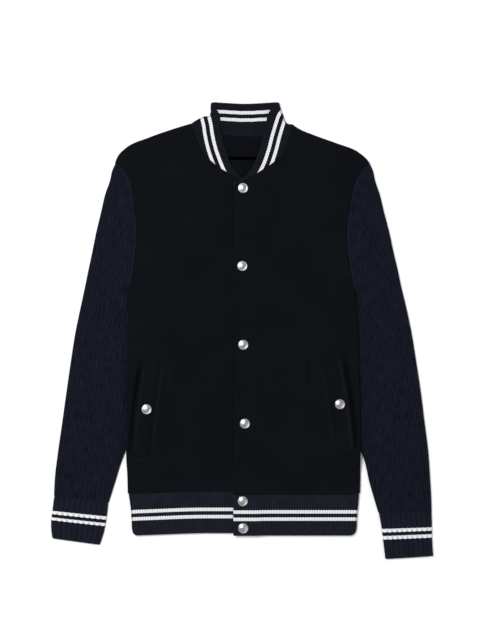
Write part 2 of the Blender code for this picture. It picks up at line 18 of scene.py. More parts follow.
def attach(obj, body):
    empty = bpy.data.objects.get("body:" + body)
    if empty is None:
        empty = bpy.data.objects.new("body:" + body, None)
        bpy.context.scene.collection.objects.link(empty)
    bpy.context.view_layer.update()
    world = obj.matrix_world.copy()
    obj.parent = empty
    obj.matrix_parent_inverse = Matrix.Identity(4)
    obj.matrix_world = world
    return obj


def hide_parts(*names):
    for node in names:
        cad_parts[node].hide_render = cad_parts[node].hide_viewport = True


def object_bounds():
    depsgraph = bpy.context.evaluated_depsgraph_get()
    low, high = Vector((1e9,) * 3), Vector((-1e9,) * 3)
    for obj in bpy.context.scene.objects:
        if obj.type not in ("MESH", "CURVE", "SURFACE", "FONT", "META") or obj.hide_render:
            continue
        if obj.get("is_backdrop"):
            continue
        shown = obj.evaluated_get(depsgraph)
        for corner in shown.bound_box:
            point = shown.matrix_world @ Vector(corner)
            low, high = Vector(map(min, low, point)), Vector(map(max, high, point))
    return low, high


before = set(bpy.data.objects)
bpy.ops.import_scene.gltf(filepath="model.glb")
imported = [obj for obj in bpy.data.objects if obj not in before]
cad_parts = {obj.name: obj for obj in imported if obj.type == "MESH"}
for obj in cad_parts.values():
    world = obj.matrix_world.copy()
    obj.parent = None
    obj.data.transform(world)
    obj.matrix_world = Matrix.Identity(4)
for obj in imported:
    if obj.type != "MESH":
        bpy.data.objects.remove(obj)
cad_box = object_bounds()
print("solids:", len(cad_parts), "box", [round(1000 * s, 1) for s in cad_box[1] - cad_box[0]])

# %% [markdown]
# ## Curves through a few points
#
# A pattern cutter marks a few points and draws a fair curve through them. The same is done here:
# every outline is a short list of points, and a curve through them gives as many as the mesh
# needs. The curve is made of cubic stretches, which share a slope where they meet.

# %% Curves
MM = 0.001


def ease(t):
    """A smooth step: 3t² − 2t³ for t kept between 0 and 1."""
    t = np.clip(t, 0.0, 1.0)
    return t * t * (3 - 2 * t)


def ridge(away, height, middle, width):
    """A bell: the height times e to the power of −((away − middle) / width)²."""
    return height * np.exp(-(((away - middle) / width) ** 2))


def travel(line):
    """How far along a line each point is: the running sum of the steps between the points."""
    steps = np.linalg.norm(np.diff(line, axis=0), axis=1)
    return np.concatenate([[0.0], np.cumsum(steps)])


def fair(points, shares, by_number=False):
    """A fair curve at shares of its length, or at places between numbered points: cubics between
    neighbours, with the slope at each point of the parabola through it and its two neighbours."""
    points = np.asarray(points, float)
    knots = travel(points[:, :2])
    slopes = np.gradient(points, knots, axis=0, edge_order=2 if len(points) > 2 else 1)
    at = np.asarray(shares) * knots[-1]
    if by_number:
        at = np.interp(shares, np.arange(len(points)), knots)
    k = np.clip(np.searchsorted(knots, at, side="right") - 1, 0, len(knots) - 2)
    span = (knots[k + 1] - knots[k])[:, None]
    t = (at - knots[k])[:, None] / span
    start = points[k] * (1 + 2 * t) * (1 - t) ** 2 + slopes[k] * span * t * (1 - t) ** 2
    end = points[k + 1] * t * t * (3 - 2 * t) + slopes[k + 1] * span * t * t * (t - 1)
    return start + end


def evenly(count):
    """Numbers from 0 to 1, the same step apart."""
    return np.linspace(0, 1, count)


def along(line, distances):
    """Places at distances along a line of close points."""
    knots = travel(line)
    return np.column_stack([np.interp(distances, knots, line[:, k]) for k in range(2)])


def beside(line, distance):
    """A line moved to its left, along the sum of the normals of the two steps at each point."""
    steps = np.diff(line, axis=0)
    steps /= np.linalg.norm(steps, axis=1, keepdims=True)
    normals = np.column_stack([-steps[:, 1], steps[:, 0]])
    corners = np.vstack([normals[:1], normals[:-1] + normals[1:], normals[-1:]])
    corners /= np.linalg.norm(corners, axis=1, keepdims=True)
    return line + corners * distance


def distance_to(line, plan):
    """The distance from each place in plan to the nearest point of a line of close points, which
    is taken a few points at a time to save memory."""
    away = np.full(plan.shape[:-1], np.inf)
    for part in np.array_split(line, max(1, len(line) // 24)):
        near = np.linalg.norm(plan[..., None, :] - part, axis=-1).min(axis=-1)
        away = np.minimum(away, near)
    return away


# %% [markdown]
# ## Cloth as a closed wall
#
# Cloth has two faces and a thickness. Each piece is a grid of points for its outer face and a
# matching grid for its inner face, bridged at the free edges. A cut edge isn't square: the two
# faces draw together over the last millimetre, so that the edge catches a soft line of light.

# %% A closed wall from two faces
EDGE_INSETS = (0.35, 1.0)  # extra rows this far in from a free edge
EDGE_CAPS = (0.3, 0.6)  # but at most these shares of the way to the next row
EDGE_PINCH = (0.75, 0.3, 0.06)  # how far the faces draw together at the edge and at these rows
DOUBLES = 1e-6  # points nearer to each other than this, in metres, are one


def soften_rows(grid):
    """Adds rows just inside the first and last row, and draws outer and inner face together."""
    for _ in range(2):
        gap = np.linalg.norm(grid[1, :, :3] - grid[0, :, :3], axis=-1) + 1e-9
        shares = [np.clip(inset / gap, 0, cap) for inset, cap in zip(EDGE_INSETS, EDGE_CAPS)]
        extra = [grid[0] + (grid[1] - grid[0]) * share[:, None] for share in shares]
        grid = np.concatenate([grid[:1], extra, grid[1:]])
        for row, pinch in enumerate(EDGE_PINCH):
            middle = (grid[row, :, :3] + grid[row, :, 3:6]) / 2
            for face in (slice(0, 3), slice(3, 6)):
                grid[row, :, face] += (middle - grid[row, :, face]) * pinch
        grid = grid[::-1]
    return grid


def quads(index):
    """The four corners of each cell in a grid of point numbers."""
    corners = [index[:-1, :-1], index[:-1, 1:], index[1:, 1:], index[1:, :-1]]
    return np.stack(corners, -1).reshape(-1, 4)


def make_piece(name, points, faces, maps, material):
    """A mesh from points in millimetres, four-cornered faces, and each point's place on the cloth,
    its doubles merged and its faces turned outwards. A third number of the map is painted light
    and shade: above 0 a painted highlight on a ridge or edge, and below 0 painted shade in a
    hollow."""
    mesh = bpy.data.meshes.new(name)
    mesh.from_pydata(points * MM, [], faces)
    layer = mesh.uv_layers.new(name="cloth")
    corners = np.empty(len(mesh.loops), np.int32)
    mesh.loops.foreach_get("vertex_index", corners)
    layer.data.foreach_set("uv", maps[corners, :2].astype(np.float32).ravel())
    # the third number is kept as an attribute of painted light and shade
    if maps.shape[1] > 2:
        painted_light_and_shade = mesh.attributes.new("painted_light_and_shade", "FLOAT", "POINT")
        painted_light_and_shade.data.foreach_set("value", maps[:, 2].astype(np.float32))
    work = bmesh.new()
    work.from_mesh(mesh)
    bmesh.ops.remove_doubles(work, verts=work.verts, dist=DOUBLES)
    bmesh.ops.dissolve_degenerate(work, edges=work.edges, dist=DOUBLES)
    bmesh.ops.recalc_face_normals(work, faces=work.faces)
    work.to_mesh(mesh)
    work.free()
    mesh.shade_smooth()
    mesh.materials.append(material)
    made = bpy.data.objects.new(name, mesh)
    bpy.context.scene.collection.objects.link(made)
    mesh.calc_loop_triangles()
    print(f"{name}: {len(mesh.loop_triangles)} triangles")
    return made


def wall(name, outer, inner, maps, material, open_rows=None, soft_sides=True):
    """A closed wall. Its first open_rows rows, or all of them, have free ends; past them the ends
    of each row meet, and it is a tube. Its first and last rows are softened, and with soft_sides
    the ends of its rows are too."""
    grid = soften_rows(np.concatenate([outer, inner, maps], axis=-1))
    if soft_sides:
        grid = soften_rows(grid.swapaxes(0, 1)).swapaxes(0, 1)
    rows, columns = grid.shape[:2]
    free = slice(rows if open_rows is None else open_rows + len(EDGE_INSETS) + 1)
    upper = np.arange(rows * columns).reshape(rows, columns)
    lower = upper + rows * columns
    edges = [(upper[row], lower[row]) for row in (0, -1)]
    edges += [(upper[free, column], lower[free, column]) for column in (0, -1)]
    faces = [quads(upper), quads(lower)[:, [0, 3, 2, 1]]]
    faces = np.concatenate(faces + [quads(np.stack(edge)) for edge in edges])
    points = np.concatenate([grid[..., :3].reshape(-1, 3), grid[..., 3:6].reshape(-1, 3)])
    cloth = np.tile(grid[..., 6:].reshape(rows * columns, -1), (2, 1))
    return make_piece(name, points, faces, cloth, material)


# %% [markdown]
# ## Finishes
#
# The body is a felted knit: nearly black, matt, with a short fibre that catches a little light
# where it turns away, and with painted light and shade on its ridges and hollows. The sleeves and
# bands are ribbed knits in navy. Their ribs are real relief in the mesh, with painted shade in
# their grooves, and the stitches on them are bump, laid out by each piece's own map of millimetres
# across and along the cloth. The stripes are knitted in, so they are read from the same map.
# A finish is a net of nodes. Here each node's output is a value, and values are added, taken away
# and multiplied as in any formula.

# %% Node helpers
def channel(value):
    """A screen colour's channel, 0 to 255, as light."""
    value /= 255
    return value / 12.92 if value <= 0.04045 else ((value + 0.055) / 1.055) ** 2.4


def colour(red, green, blue):
    """A screen colour as light."""
    return (channel(red), channel(green), channel(blue), 1.0)


class Value:
    """A node's output. A sum of values is written as a sum, and makes nodes of its own."""

    def __init__(self, tree, kind, output, inputs=(), **settings):
        node = tree.nodes.new(kind)
        for name, setting in settings.items():
            setattr(node, name, setting)
        for name, given in dict(inputs).items():
            if isinstance(given, Value):
                tree.links.new(given.socket, node.inputs[name])
            else:
                node.inputs[name].default_value = given
        self.tree, self.socket = tree, node.outputs[output]

    def maths(self, operation, *others):
        """What a maths node makes of this value and others."""
        inputs = enumerate((self, *others))
        return Value(self.tree, "ShaderNodeMath", 0, inputs, operation=operation)

    def __add__(self, other):
        return self.maths("ADD", other)

    def __sub__(self, other):
        return self.maths("SUBTRACT", other)

    def __mul__(self, other):
        return self.maths("MULTIPLY", other)


def mixed(share, first, second):
    """A colour between two colours."""
    inputs = {"Factor": share, 6: first, 7: second}
    return Value(share.tree, "ShaderNodeMix", 2, inputs, data_type="RGBA")


def noise(place, scale, detail=2.0, roughness=0.5):
    """Cloudy noise, from 0 to 1."""
    inputs = {"Vector": place, "Scale": scale, "Detail": detail, "Roughness": roughness}
    return Value(place.tree, "ShaderNodeTexNoise", "Fac", inputs)


def finish(name, roughness, specular, metallic=0.0, sheen=0.0):
    """A material with its shader, whose even values are set on the shader itself."""
    made = bpy.data.materials.new(name)
    made.use_nodes = True
    shader = made.node_tree.nodes["Principled BSDF"]
    shader.inputs["Roughness"].default_value = roughness
    shader.inputs["Specular IOR Level"].default_value = specular
    shader.inputs["Metallic"].default_value = metallic
    shader.inputs["Sheen Weight"].default_value = sheen
    shader.inputs["Sheen Roughness"].default_value = 0.5
    return made, made.node_tree, shader


def cloth_map(tree):
    """A place's millimetres on the cloth: both as one vector, across, and along."""
    cloth = Value(tree, "ShaderNodeUVMap", 0, uv_map="cloth")
    return cloth, *(Value(tree, "ShaderNodeSeparateXYZ", k, {0: cloth}) for k in (0, 1))


def feed(shader, name, value):
    """Links a value to one of a shader's inputs."""
    value.tree.links.new(value.socket, shader.inputs[name])


def dress(shader, shade, height, strength, depth=0.0005):
    """Gives a shader its colour, and its bump from a height."""
    inputs = {"Strength": strength, "Distance": depth, "Height": height}
    feed(shader, "Base Color", shade)
    feed(shader, "Normal", Value(shade.tree, "ShaderNodeBump", 0, inputs))


# %% Felted cloth
def felt(name, dark, light):
    """Felted knit: fibre grain, soft clouds of tone, painted light and shade, and a fuzzy bump."""
    made, tree, shader = finish(name, roughness=0.95, specular=0.04, sheen=0.02)
    place = Value(tree, "ShaderNodeTexCoord", "Object")
    # painted highlight on ridges and painted shade in hollows, read from each piece's attribute
    painted_light_and_shade = Value(tree, "ShaderNodeAttribute", "Fac", attribute_name="painted_light_and_shade")
    clouds, grain = noise(place, 14.0, 3.0), noise(place, 900.0, 4.0, 0.7)
    share = painted_light_and_shade * 0.55 + (grain * 0.9 + (clouds * 0.5 - 0.2))
    height = noise(place, 260.0, 3.0, 0.6) * 0.6 + grain
    dress(shader, mixed(share, colour(*dark), colour(*light)), height, 0.7)
    return made


BODY_FELT = felt("black_felted_knit", (3, 4, 7), (18, 19, 24))
# the back's inside, seen through the neck, is a slightly darker copy of the body felt: painted
# shade
SHADED_INSIDE_FELT = felt("black_felt_inside_shaded", (3, 4, 7), (16, 17, 22))

# %% Ribbed knit
WHITE_YARN = (colour(205, 205, 210), colour(246, 246, 248))
# the black that a rib's grooves are mixed towards: painted shade
PAINTED_SHADE_BLACK = (0.0, 0.0, 0.002, 1.0)
PAINTED_HIGHLIGHT_STREAKS = (0.4, 0.06, 1.0)  # the painted highlight's streaks are long along the ribs and narrow across them


def rib_knit(name, pitch, stitch, dark, light, stripes=(), split=0.0):
    """Ribbed knit. On each rib the stitches are chevrons: the height is a wave of the distance
    along the cloth plus half a stitch's rise from the rib's middle to its side. The grooves are
    mixed towards black as painted shade. Stripes are (from, to) in millimetres along the map, and
    their edges follow the stitches. Split says how strongly each of a rib's two rows of slanting
    yarn gets a painted highlight, with painted shade in the furrow between them."""
    made, tree, shader = finish(name, roughness=0.9, specular=0.06, sheen=0.05)
    cloth, across, up = cloth_map(tree)
    turn = across.maths("DIVIDE", pitch).maths("FRACT")
    off_middle = (turn - 0.5).maths("ABSOLUTE")
    rows = up * (1 / stitch) + off_middle
    wave = (rows.maths("FRACT") - 0.5).maths("ABSOLUTE")
    groove = off_middle.maths("POWER", 3.0) * 6.0
    fuzz, tint = noise(cloth, 2.2, 3.0, 0.7), noise(cloth, 0.06)
    height = fuzz * 0.5 + wave - groove
    share = fuzz * 0.8 + (tint * 0.6 - 0.25)
    # hollow: painted shade, darker in the grooves between ribs
    hollow = (groove * 0.5).maths("MINIMUM", 0.45)
    if split:
        # painted shade in the furrow down a rib's middle
        painted_furrow_shade = (off_middle * -8.0 + 1.0).maths("MAXIMUM", 0.0)
        hollow = hollow.maths("MAXIMUM", painted_furrow_shade * (0.5 * split))
        off_yarn = (off_middle * 4.0 - 1.0).maths("ABSOLUTE")
        inputs = {0: cloth, 1: PAINTED_HIGHLIGHT_STREAKS}
        drawn = Value(tree, "ShaderNodeVectorMath", 0, inputs, operation="MULTIPLY")
        # painted highlight along each of the rib's two rows of yarn, broken into streaks
        painted_yarn_highlight = noise(drawn, 1.0, 2.0, 0.6) * 1.6 - off_yarn * 0.7
        share = painted_yarn_highlight * split + share - 0.45 * split
    shade = mixed(share, colour(*dark), colour(*light))
    edge, yarn = off_middle * (stitch * 0.5) + up, mixed(fuzz, *WHITE_YARN)
    for low, high in stripes:
        inside = edge.maths("GREATER_THAN", low) * edge.maths("LESS_THAN", high)
        shade = mixed(inside, shade, yarn)
    dress(shader, mixed(hollow, shade, PAINTED_SHADE_BLACK), height, 0.8)
    return made


# %% Snap metal and twill
TWILL_PITCH = 0.9
PAINTED_SHADOW_WIDTH = 5.2  # the width of the strip of painted shadow along the facing's lower edge
# the black of the painted shadow under the facing's lifted edge
PAINTED_SHADOW_BLACK = (0.0, 0.0, 0.0004, 1.0)


def snap_metal():
    """Satin nickel with faint wear: its shade and its roughness follow the same noise."""
    made, tree, shader = finish("nickel", roughness=0.3, specular=0.5, metallic=1.0)
    wear = noise(Value(tree, "ShaderNodeTexCoord", "Object"), 500.0, 4.0, 0.7)
    feed(shader, "Base Color", mixed(wear, colour(160, 162, 163), colour(204, 205, 206)))
    feed(shader, "Roughness", wear * 0.14 + 0.24)
    return made


def twill(name, dark, light, shadow_width):
    """Smooth twill: fine diagonal lines from a wave of across plus along. The first millimetres
    of the map, as many as shadow_width, are painted black as the shadow under the facing's lifted
    edge."""
    made, tree, shader = finish(name, roughness=0.8, specular=0.01)
    _, across, up = cloth_map(tree)
    wave = ((across + up) * (math.tau / TWILL_PITCH)).maths("SINE")
    shade = mixed(wave * 0.5 + 0.5, colour(*dark), colour(*light))
    # the strip of painted shadow along the facing's lifted lower edge
    in_painted_shadow = up.maths("LESS_THAN", shadow_width)
    dress(shader, mixed(in_painted_shadow, shade, PAINTED_SHADOW_BLACK), wave, 0.5, depth=0.0002)
    return made


NICKEL = snap_metal()
FACING_TWILL = twill("black_twill", (7, 8, 11), (19, 20, 26), PAINTED_SHADOW_WIDTH)

# %% [markdown]
# ## Camera, light and floor
#
# The jacket is seen from straight above. A long lens keeps the sleeves from leaning away. One
# soft light stands up and to the left, where the snaps carry their highlight, a wider and weaker
# one fills from the right, and the white world around lights the rest evenly.

# %% Camera
FRAME_MIDDLE = (-3.8, 16.1)  # the place under the picture's centre
FRAME_HEIGHT = 1032.0  # that much of the plane at SCALE_HEIGHT fills the picture
SCALE_HEIGHT = 3.0
LENS = 85.0
SENSOR = 36.0

scene = bpy.context.scene
lens = bpy.data.cameras.new("camera")
lens.lens, lens.sensor_width = LENS, SENSOR
lens.dof.use_dof = False
camera = bpy.data.objects.new("camera", lens)
camera.location = Vector((*FRAME_MIDDLE, FRAME_HEIGHT * LENS / SENSOR + SCALE_HEIGHT)) * MM
scene.collection.objects.link(camera)
scene.camera = camera
scene.view_settings.view_transform = "Standard"

# %% Light and floor
WORLD_LIGHT = 0.43
FLOOR_REACH, FLOOR_DROP = 6.0, 5e-5  # metres


def soft_light(name, place, size, power):
    """A square soft light, turned to the jacket."""
    light = bpy.data.lights.new(name, "AREA")
    light.size, light.energy = size, power
    made = bpy.data.objects.new(name, light)
    made.location = place
    made.rotation_euler = (-Vector(place)).to_track_quat("-Z", "Y").to_euler()
    scene.collection.objects.link(made)


soft_light("key", (-1.05, 0.7, 2.3), size=1.0, power=58.0)
soft_light("fill", (2.3, -1.3, 1.6), size=2.8, power=25.0)
world = bpy.data.worlds.new("studio")
world.use_nodes = True
world.node_tree.nodes["Background"].inputs["Color"].default_value = (1.0, 1.0, 1.0, 1.0)
world.node_tree.nodes["Background"].inputs["Strength"].default_value = WORLD_LIGHT
scene.world = world

floor_mesh = bpy.data.meshes.new("floor")
floor_corners = np.array([(-1, -1, 0), (1, -1, 0), (1, 1, 0), (-1, 1, 0)]) * FLOOR_REACH
floor_mesh.from_pydata(floor_corners - (0, 0, FLOOR_DROP), [], [(0, 1, 2, 3)])
floor_finish, floor_tree, floor_shader = finish("pale_paper", roughness=0.9, specular=0.1)
floor_grain = noise(Value(floor_tree, "ShaderNodeTexCoord", "Object"), 90.0)
floor_shade = mixed(floor_grain, colour(247, 247, 247), colour(251, 251, 251))
feed(floor_shader, "Base Color", floor_shade)
floor_mesh.materials.append(floor_finish)
floor = bpy.data.objects.new("floor", floor_mesh)
scene.collection.objects.link(floor)
floor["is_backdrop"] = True

# %% [markdown]
# ## The outlines
#
# The same few points as in the solids: sleeve sections from shoulder to cuff, side seams, shoulder
# lines, neck seams and the collar's edge. On the real jacket these are its cut edges and folds.

# %% Sizes
SEAM_GAP = 0.3  # between two pieces at a seam
BODY_WALL = 2.2
LAYER_GAP = 1.6  # between the back and a front
FRONT_BASE = BODY_WALL + LAYER_GAP

SLEEVE_BACK = 1.8  # top of a sleeve's lower layer
SLEEVE_BASE = 2.8  # underside of its upper layer
SLEEVE_TOP = 4.4  # top of its upper layer, in the grooves
SLEEVE_RELIEF = 1.2  # how high its ribs stand
SLEEVE_FOLD = 2.6  # how far in the round of a fold reaches
SLEEVE_PITCH = 7.0
SLEEVE_FIRST_GROOVE = 4.8  # in from the outer fold

BAND_WALL = 2.4
BAND_RELIEF = 0.6
BAND_PITCH = 4.2
BAND_FOLD = 3.2
CUFF_RIBS = 10

CLOSING_EDGE_X = -14.5  # the left front's edge, on top
UNDER_EDGE_X = 16.1  # the right front's edge, below it
HEM_SEAM_Y = -262.0
OVERLAP_LIFT = 3.3
OVERLAP_X = (20.0, 41.0)  # the overlap's lift is full up to the first and nothing past the second

SIDE_LIFT = 6.4  # the fronts' and the back's rise over a hidden sleeve
LIFT_REACH = 63.0  # from the sleeve's hidden fold to where the lift starts
LIFT_FALL = 55.0  # it eases in over this width
LIFT_ROWS = (-232.0, -198.0, 57.0, 80.0)  # it is full from the second y to the third
EDGE_SLOPE = 12.0  # a front comes down to its seams over this width
SIDE_BEND = 120.0  # a panel's columns bend with its sides over this width

# %% Sleeves and cuffs: outer x, outer y, inner x, inner y, x counted away from the middle
ARMHOLE_SECTIONS = 8
RIGHT_SLEEVE = (
    (205.2, 267.6, 197.5, 265.1), (209.8, 257, 184.3, 248.7), (213.4, 241, 177.9, 229.4),
    (220.8, 220, 174.1, 205.3), (227.8, 190, 170.6, 174.7), (235.8, 156.5, 170.8, 140.9),
    (242, 125.7, 173.2, 110.3), (248.6, 94.7, 178.2, 79.7), (253.2, 72, 182.9, 57),
    (259.8, 41, 167, 22), (268.7, -1.5, 152, -22), (275.9, -47, 148, -68),
    (283.4, -99, 157, -117), (290.6, -151, 176.5, -166), (297, -195.6, 193.5, -207.7),
    (302, -237.5, 205.3, -245.5), (303.4, -267.5, 215.3, -277.2),
)
LEFT_SLEEVE = (
    (205.6, 267.6, 197.5, 265.1), (210.2, 257, 186, 248.7), (213.8, 241, 178.7, 229.4),
    (220.9, 220, 173.1, 205.3), (228.3, 190, 168.8, 174.7), (236.9, 156.5, 168.3, 140.9),
    (243.5, 125.7, 171.5, 110.3), (250.8, 94.7, 176.9, 79.7), (255.5, 72, 182.1, 57),
    (263, 41, 167, 22), (272, -1.5, 153, -22), (279.4, -47, 150, -68), (287.3, -99, 159, -117),
    (293.8, -151, 178, -166), (299.4, -195.6, 196, -208), (302.3, -237.5, 204.8, -245.5),
    (304, -267.5, 212, -270.5), (304.8, -292.6, 219, -293.6),
)
RIGHT_CUFF = (
    (303.2, -267.9, 216, -277.5), (306, -290, 218.4, -299), (308.2, -312, 222.5, -322),
    (305.9, -334.5, 229.7, -344.9),
)
LEFT_CUFF = (
    (304.6, -292.9, 219.7, -293.9), (305.2, -312, 223.6, -314.5), (305.6, -336, 226.8, -339.5),
    (307.4, -363, 230.2, -367.9),
)
SIDES = {"right": (-1, RIGHT_SLEEVE), "left": (1, LEFT_SLEEVE)}

# %% Body, neck and collar
BODY_SIDE = (  # y, right x, left x, from the hem up to the underarm
    (-262, -184.6, 189.3), (-232, -185.3, 190), (-215, -186.2, 190), (-198, -186.7, 190),
    (-160, -186.4, 189.3), (-120, -186, 188.6), (-75, -185.2, 187.4), (-30, -184.2, 186),
    (10, -183.4, 184.4), (35, -182.8, 182.8), (57, -182, 181.2),
)
RIGHT_SHOULDER = ((-200.5, 280.5), (-185.5, 295.4), (-150.0, 310.8), (-112.0, 324.2))
LEFT_SHOULDER = ((200.0, 275.7), (185.5, 287.8), (150.0, 302.0), (112.0, 315.8), (91.0, 324.8))
RIGHT_NECK = (
    (-82.1, 333.3), (-74.5, 311.5), (-67, 294), (-58, 280.5), (-50, 272.6), (-42.5, 266.2),
    (-34, 260.2), (-25.5, 255.2), (-12.9, 248.4), (1.6, 241.2), (UNDER_EDGE_X, 234.8),
)
LEFT_NECK = (
    (79.7, 332.4), (75.7, 314.8), (70.3, 297), (62.8, 282.8), (54.8, 274.2), (46.5, 267.8),
    (38, 262), (29.5, 256.6), (18, 249.4), (2, 240), (CLOSING_EDGE_X, 232),
)
BACK_NECK = (
    (-82.1, 333.3), (-59.6, 322.8), (-32.2, 314.8), (4.8, 311.5), (41.9, 314.8), (61.2, 322.8),
    (79.7, 332.4),
)
RIGHT_COLLAR_TOP = (
    (-49.9, 367.9), (-42.2, 353.5), (-37.2, 336), (-34.2, 317), (-28.9, 295), (-22.6, 277.5),
    (-13.4, 258), (0.5, 245), (UNDER_EDGE_X, 240),
)
LEFT_COLLAR_TOP = (
    (58.8, 367.9), (46, 353), (40.5, 337.5), (34.5, 317), (29, 296), (23, 277.5), (13, 257.5),
    (1, 244.5), (CLOSING_EDGE_X, 239),
)
BACK_COLLAR_TOP = (
    (-49.9, 367.9), (-22.5, 366.2), (4.8, 365), (32.2, 366.2), (58.8, 367.9),
)
RIGHT_COLLAR_FOLD = (  # share of the collar's height, x, y
    (0, -82.1, 333.3), (0.3, -69, 341.4), (0.45, -62, 344.6), (0.56, -53.6, 346),
    (0.68, -51.2, 350.8), (0.84, -51.4, 359), (1, -49.9, 367.9),
)
LEFT_COLLAR_FOLD = (
    (0, 79.7, 332.4), (0.15, 71.6, 333.8), (0.3, 68.6, 337.6), (0.42, 67.2, 341.8),
    (0.55, 65.4, 347), (0.7, 63, 353.2), (1, 58.8, 367.9),
)
HEM_ROWS = (  # y, right x, left x, from the seam down
    (-262.3, -183.4, 188), (-282.7, -180.3, 186.3), (-306.7, -178.4, 184.4),
    (-321, -177.5, 183.3), (-326.5, -175.9, 181), (-329.8, -171.8, 176),
)

# %% [markdown]
# ## Creases
#
# A heavy knit has no sharp creases. It carries long soft waves: drag lines from the underarm, and
# slack places beside the closing and above the hem band. They are listed in a table, and
# the hidden back gets some of its own. A second table holds narrow lines, such as the hollow
# beside a pocket's mouth. They also carry painted light and shade: a painted highlight on a ridge
# and painted shade in a hollow.

# %% Soft waves in the cloth
FRONT_WAVES = (  # x, y, to x, to y, half width, height (below 0: a hollow)
    (-165, 40, -70, 118, 15, 0.9), (-172, 10, -92, 52, 12, -0.6),
    (-150, 175, -118, 262, 13, 0.8), (-118, 205, -86, 285, 11, -0.5),
    (-60, 225, -34, 120, 16, 0.5), (-38, 60, -52, -110, 18, -0.5),
    (-96, -60, -84, -200, 17, 0.6), (-130, -205, -60, -226, 12, 0.7),
    (-44, -222, -22, -180, 10, -0.5), (163, 34, 74, 108, 14, 0.9), (170, 4, 104, 40, 13, -0.6),
    (148, 168, 120, 250, 14, 0.8), (112, 215, 90, 292, 11, -0.5), (58, 210, 40, 96, 17, 0.6),
    (52, 30, 66, -128, 18, -0.5), (100, -80, 92, -190, 15, 0.6), (128, -212, 52, -224, 12, 0.7),
    (34, -215, 28, -168, 10, 0.4),
)
FRONT_LINES = (  # narrow ridges and hollows: x, y, to x, to y, half width, height
    (-145, -206, -126, -50, 2.8, 0.6), (-119.6, -48, -119.6, -100, 2.6, 0.4),
    (-181.5, -202, -164, -48, 2.6, -0.9), (103.8, -38, 103.8, -88, 2.6, -0.5),
    (125, -50, 147, -196, 2.8, 0.25), (162.5, -34, 184.5, -194, 2.6, -0.9),
    (161, -198.5, 176, -198.5, 1.8, -0.6), (-171, -209, -154, -209, 2.2, 0.5),
    (-12, -120, -3, -139, 2.2, 0.5), (-9, -175, -9, -206, 2.4, 0.4),
    (-9, 196, -9, 128, 2.4, 0.3),
)
BACK_WAVES = (
    (-150, 120, -40, 200, 20, 0.5), (140, 100, 52, 210, 18, 0.6), (-90, -40, -70, -190, 22, 0.5),
    (88, -20, 76, -200, 20, 0.5), (10, 90, -8, -90, 24, 0.4),
)
WAVE_BOW, LINE_BOW = 0.06, 0.017  # how far a wave or a narrow line bows, in shares of its length
WAVE_RISE, WAVE_END = 0.35, 0.3  # an end eases in with its share / the first + the second


def waves(plan, table, bow):
    """Each wave's height falls off as a bell with the distance from its line, and eases down to
    the line's two ends. The line bows to its left by a share of its length."""
    total = np.zeros(plan.shape[:2])
    for x0, y0, x1, y1, width, height in table:
        start, run = np.array((x0, y0)), np.array((x1 - x0, y1 - y0))
        share = ((plan - start) @ run) / (run @ run)
        side = bow * math.hypot(*run) * np.sin(np.pi * np.clip(share, 0, 1))
        off = (plan - start) @ (-run[1], run[0]) / math.hypot(*run) - side
        rise, fall = (ease(way / WAVE_RISE + WAVE_END) for way in (share, 1 - share))
        total += rise * fall * ridge(off, height, 0.0, width)
    return total


# %% [markdown]
# ## The body
#
# Two fronts lie on the back. A panel is a grid between its side edge and its closing edge, whose
# columns run up from the hem seam and bend with the armhole. The fronts stand a layer's height
# above the back, come down to it where they are sewn, and ride over the sleeves hidden under the
# sides. The wearer's left front laps over the right one.

# %% Heights
def sleeve_lift(x, y):
    """The rise over the hidden sleeves: an eased ramp across, faded in and out along the side."""
    low, high, under, none = LIFT_ROWS
    fade = ease((none - y) / (none - under)) * ease((y - low) / (high - low))
    lift = np.zeros_like(x)
    for side, sections in SIDES.values():
        fold = np.array(sections)[:ARMHOLE_SECTIONS:-1, 2:]
        start = np.interp(y, fold[:, 1], fold[:, 0]) - LIFT_REACH
        lift += SIDE_LIFT * ease((side * x - start) / LIFT_FALL)
    return lift * fade


def overlap_lift(x):
    """The closing edge's rise over what it covers."""
    return OVERLAP_LIFT * ease((OVERLAP_X[1] - x) / (OVERLAP_X[1] - OVERLAP_X[0]))


# %% Panel plans
SEAM_ROWS = 96
UNDERARM_ROWS = 10
ARMHOLE_ROWS = 74


def side_edge(name):
    """A panel's edge from the hem up the side seam, then up the armhole to the shoulder tip."""
    side, sections = SIDES[name]
    seam = fair([(row[1 if side < 0 else 2], row[0]) for row in BODY_SIDE], evenly(SEAM_ROWS))
    hole = fair([row[2:] for row in sections[:ARMHOLE_SECTIONS][::-1]], evenly(ARMHOLE_ROWS))
    tip = np.array([[side * sections[0][0], sections[0][1]]])
    hole = beside(np.vstack([hole * (side, 1), tip]), side * SEAM_GAP)
    underarm = seam[-1] + (hole[0] - seam[-1]) * evenly(UNDERARM_ROWS)[1:-1, None]
    return np.vstack([seam, underarm, hole])


def rise_up(edge):
    """How far up each point of an edge is, from 0 at the hem seam to 1 at the edge's end."""
    return (edge[:, 1] - HEM_SEAM_Y) / (edge[-1, 1] - HEM_SEAM_Y)


def panel_plan(near, far, top):
    """Places of a panel: straight columns from hem to top, moved sideways with the edges by an
    amount that eases out over the bend's width, and rows shared out like the edges' rows."""
    share = (top[:, 0] - top[0, 0]) / (top[-1, 0] - top[0, 0])
    rise = rise_up(near)[:, None] * (1 - share) + rise_up(far)[:, None] * share
    start = near[0, 0] * (1 - share) + far[0, 0] * share
    x = start + rise * (top[:, 0] - start)
    for edge, column in ((near, 0), (far, -1)):
        bend = edge[:, :1] - x[:, column : column + 1 or None]
        x = x + bend * ease(1 - np.abs(top[:, 0] - edge[-1, 0]) / SIDE_BEND)
    return np.dstack([x, HEM_SEAM_Y + rise * (top[:, 1] - HEM_SEAM_Y)])


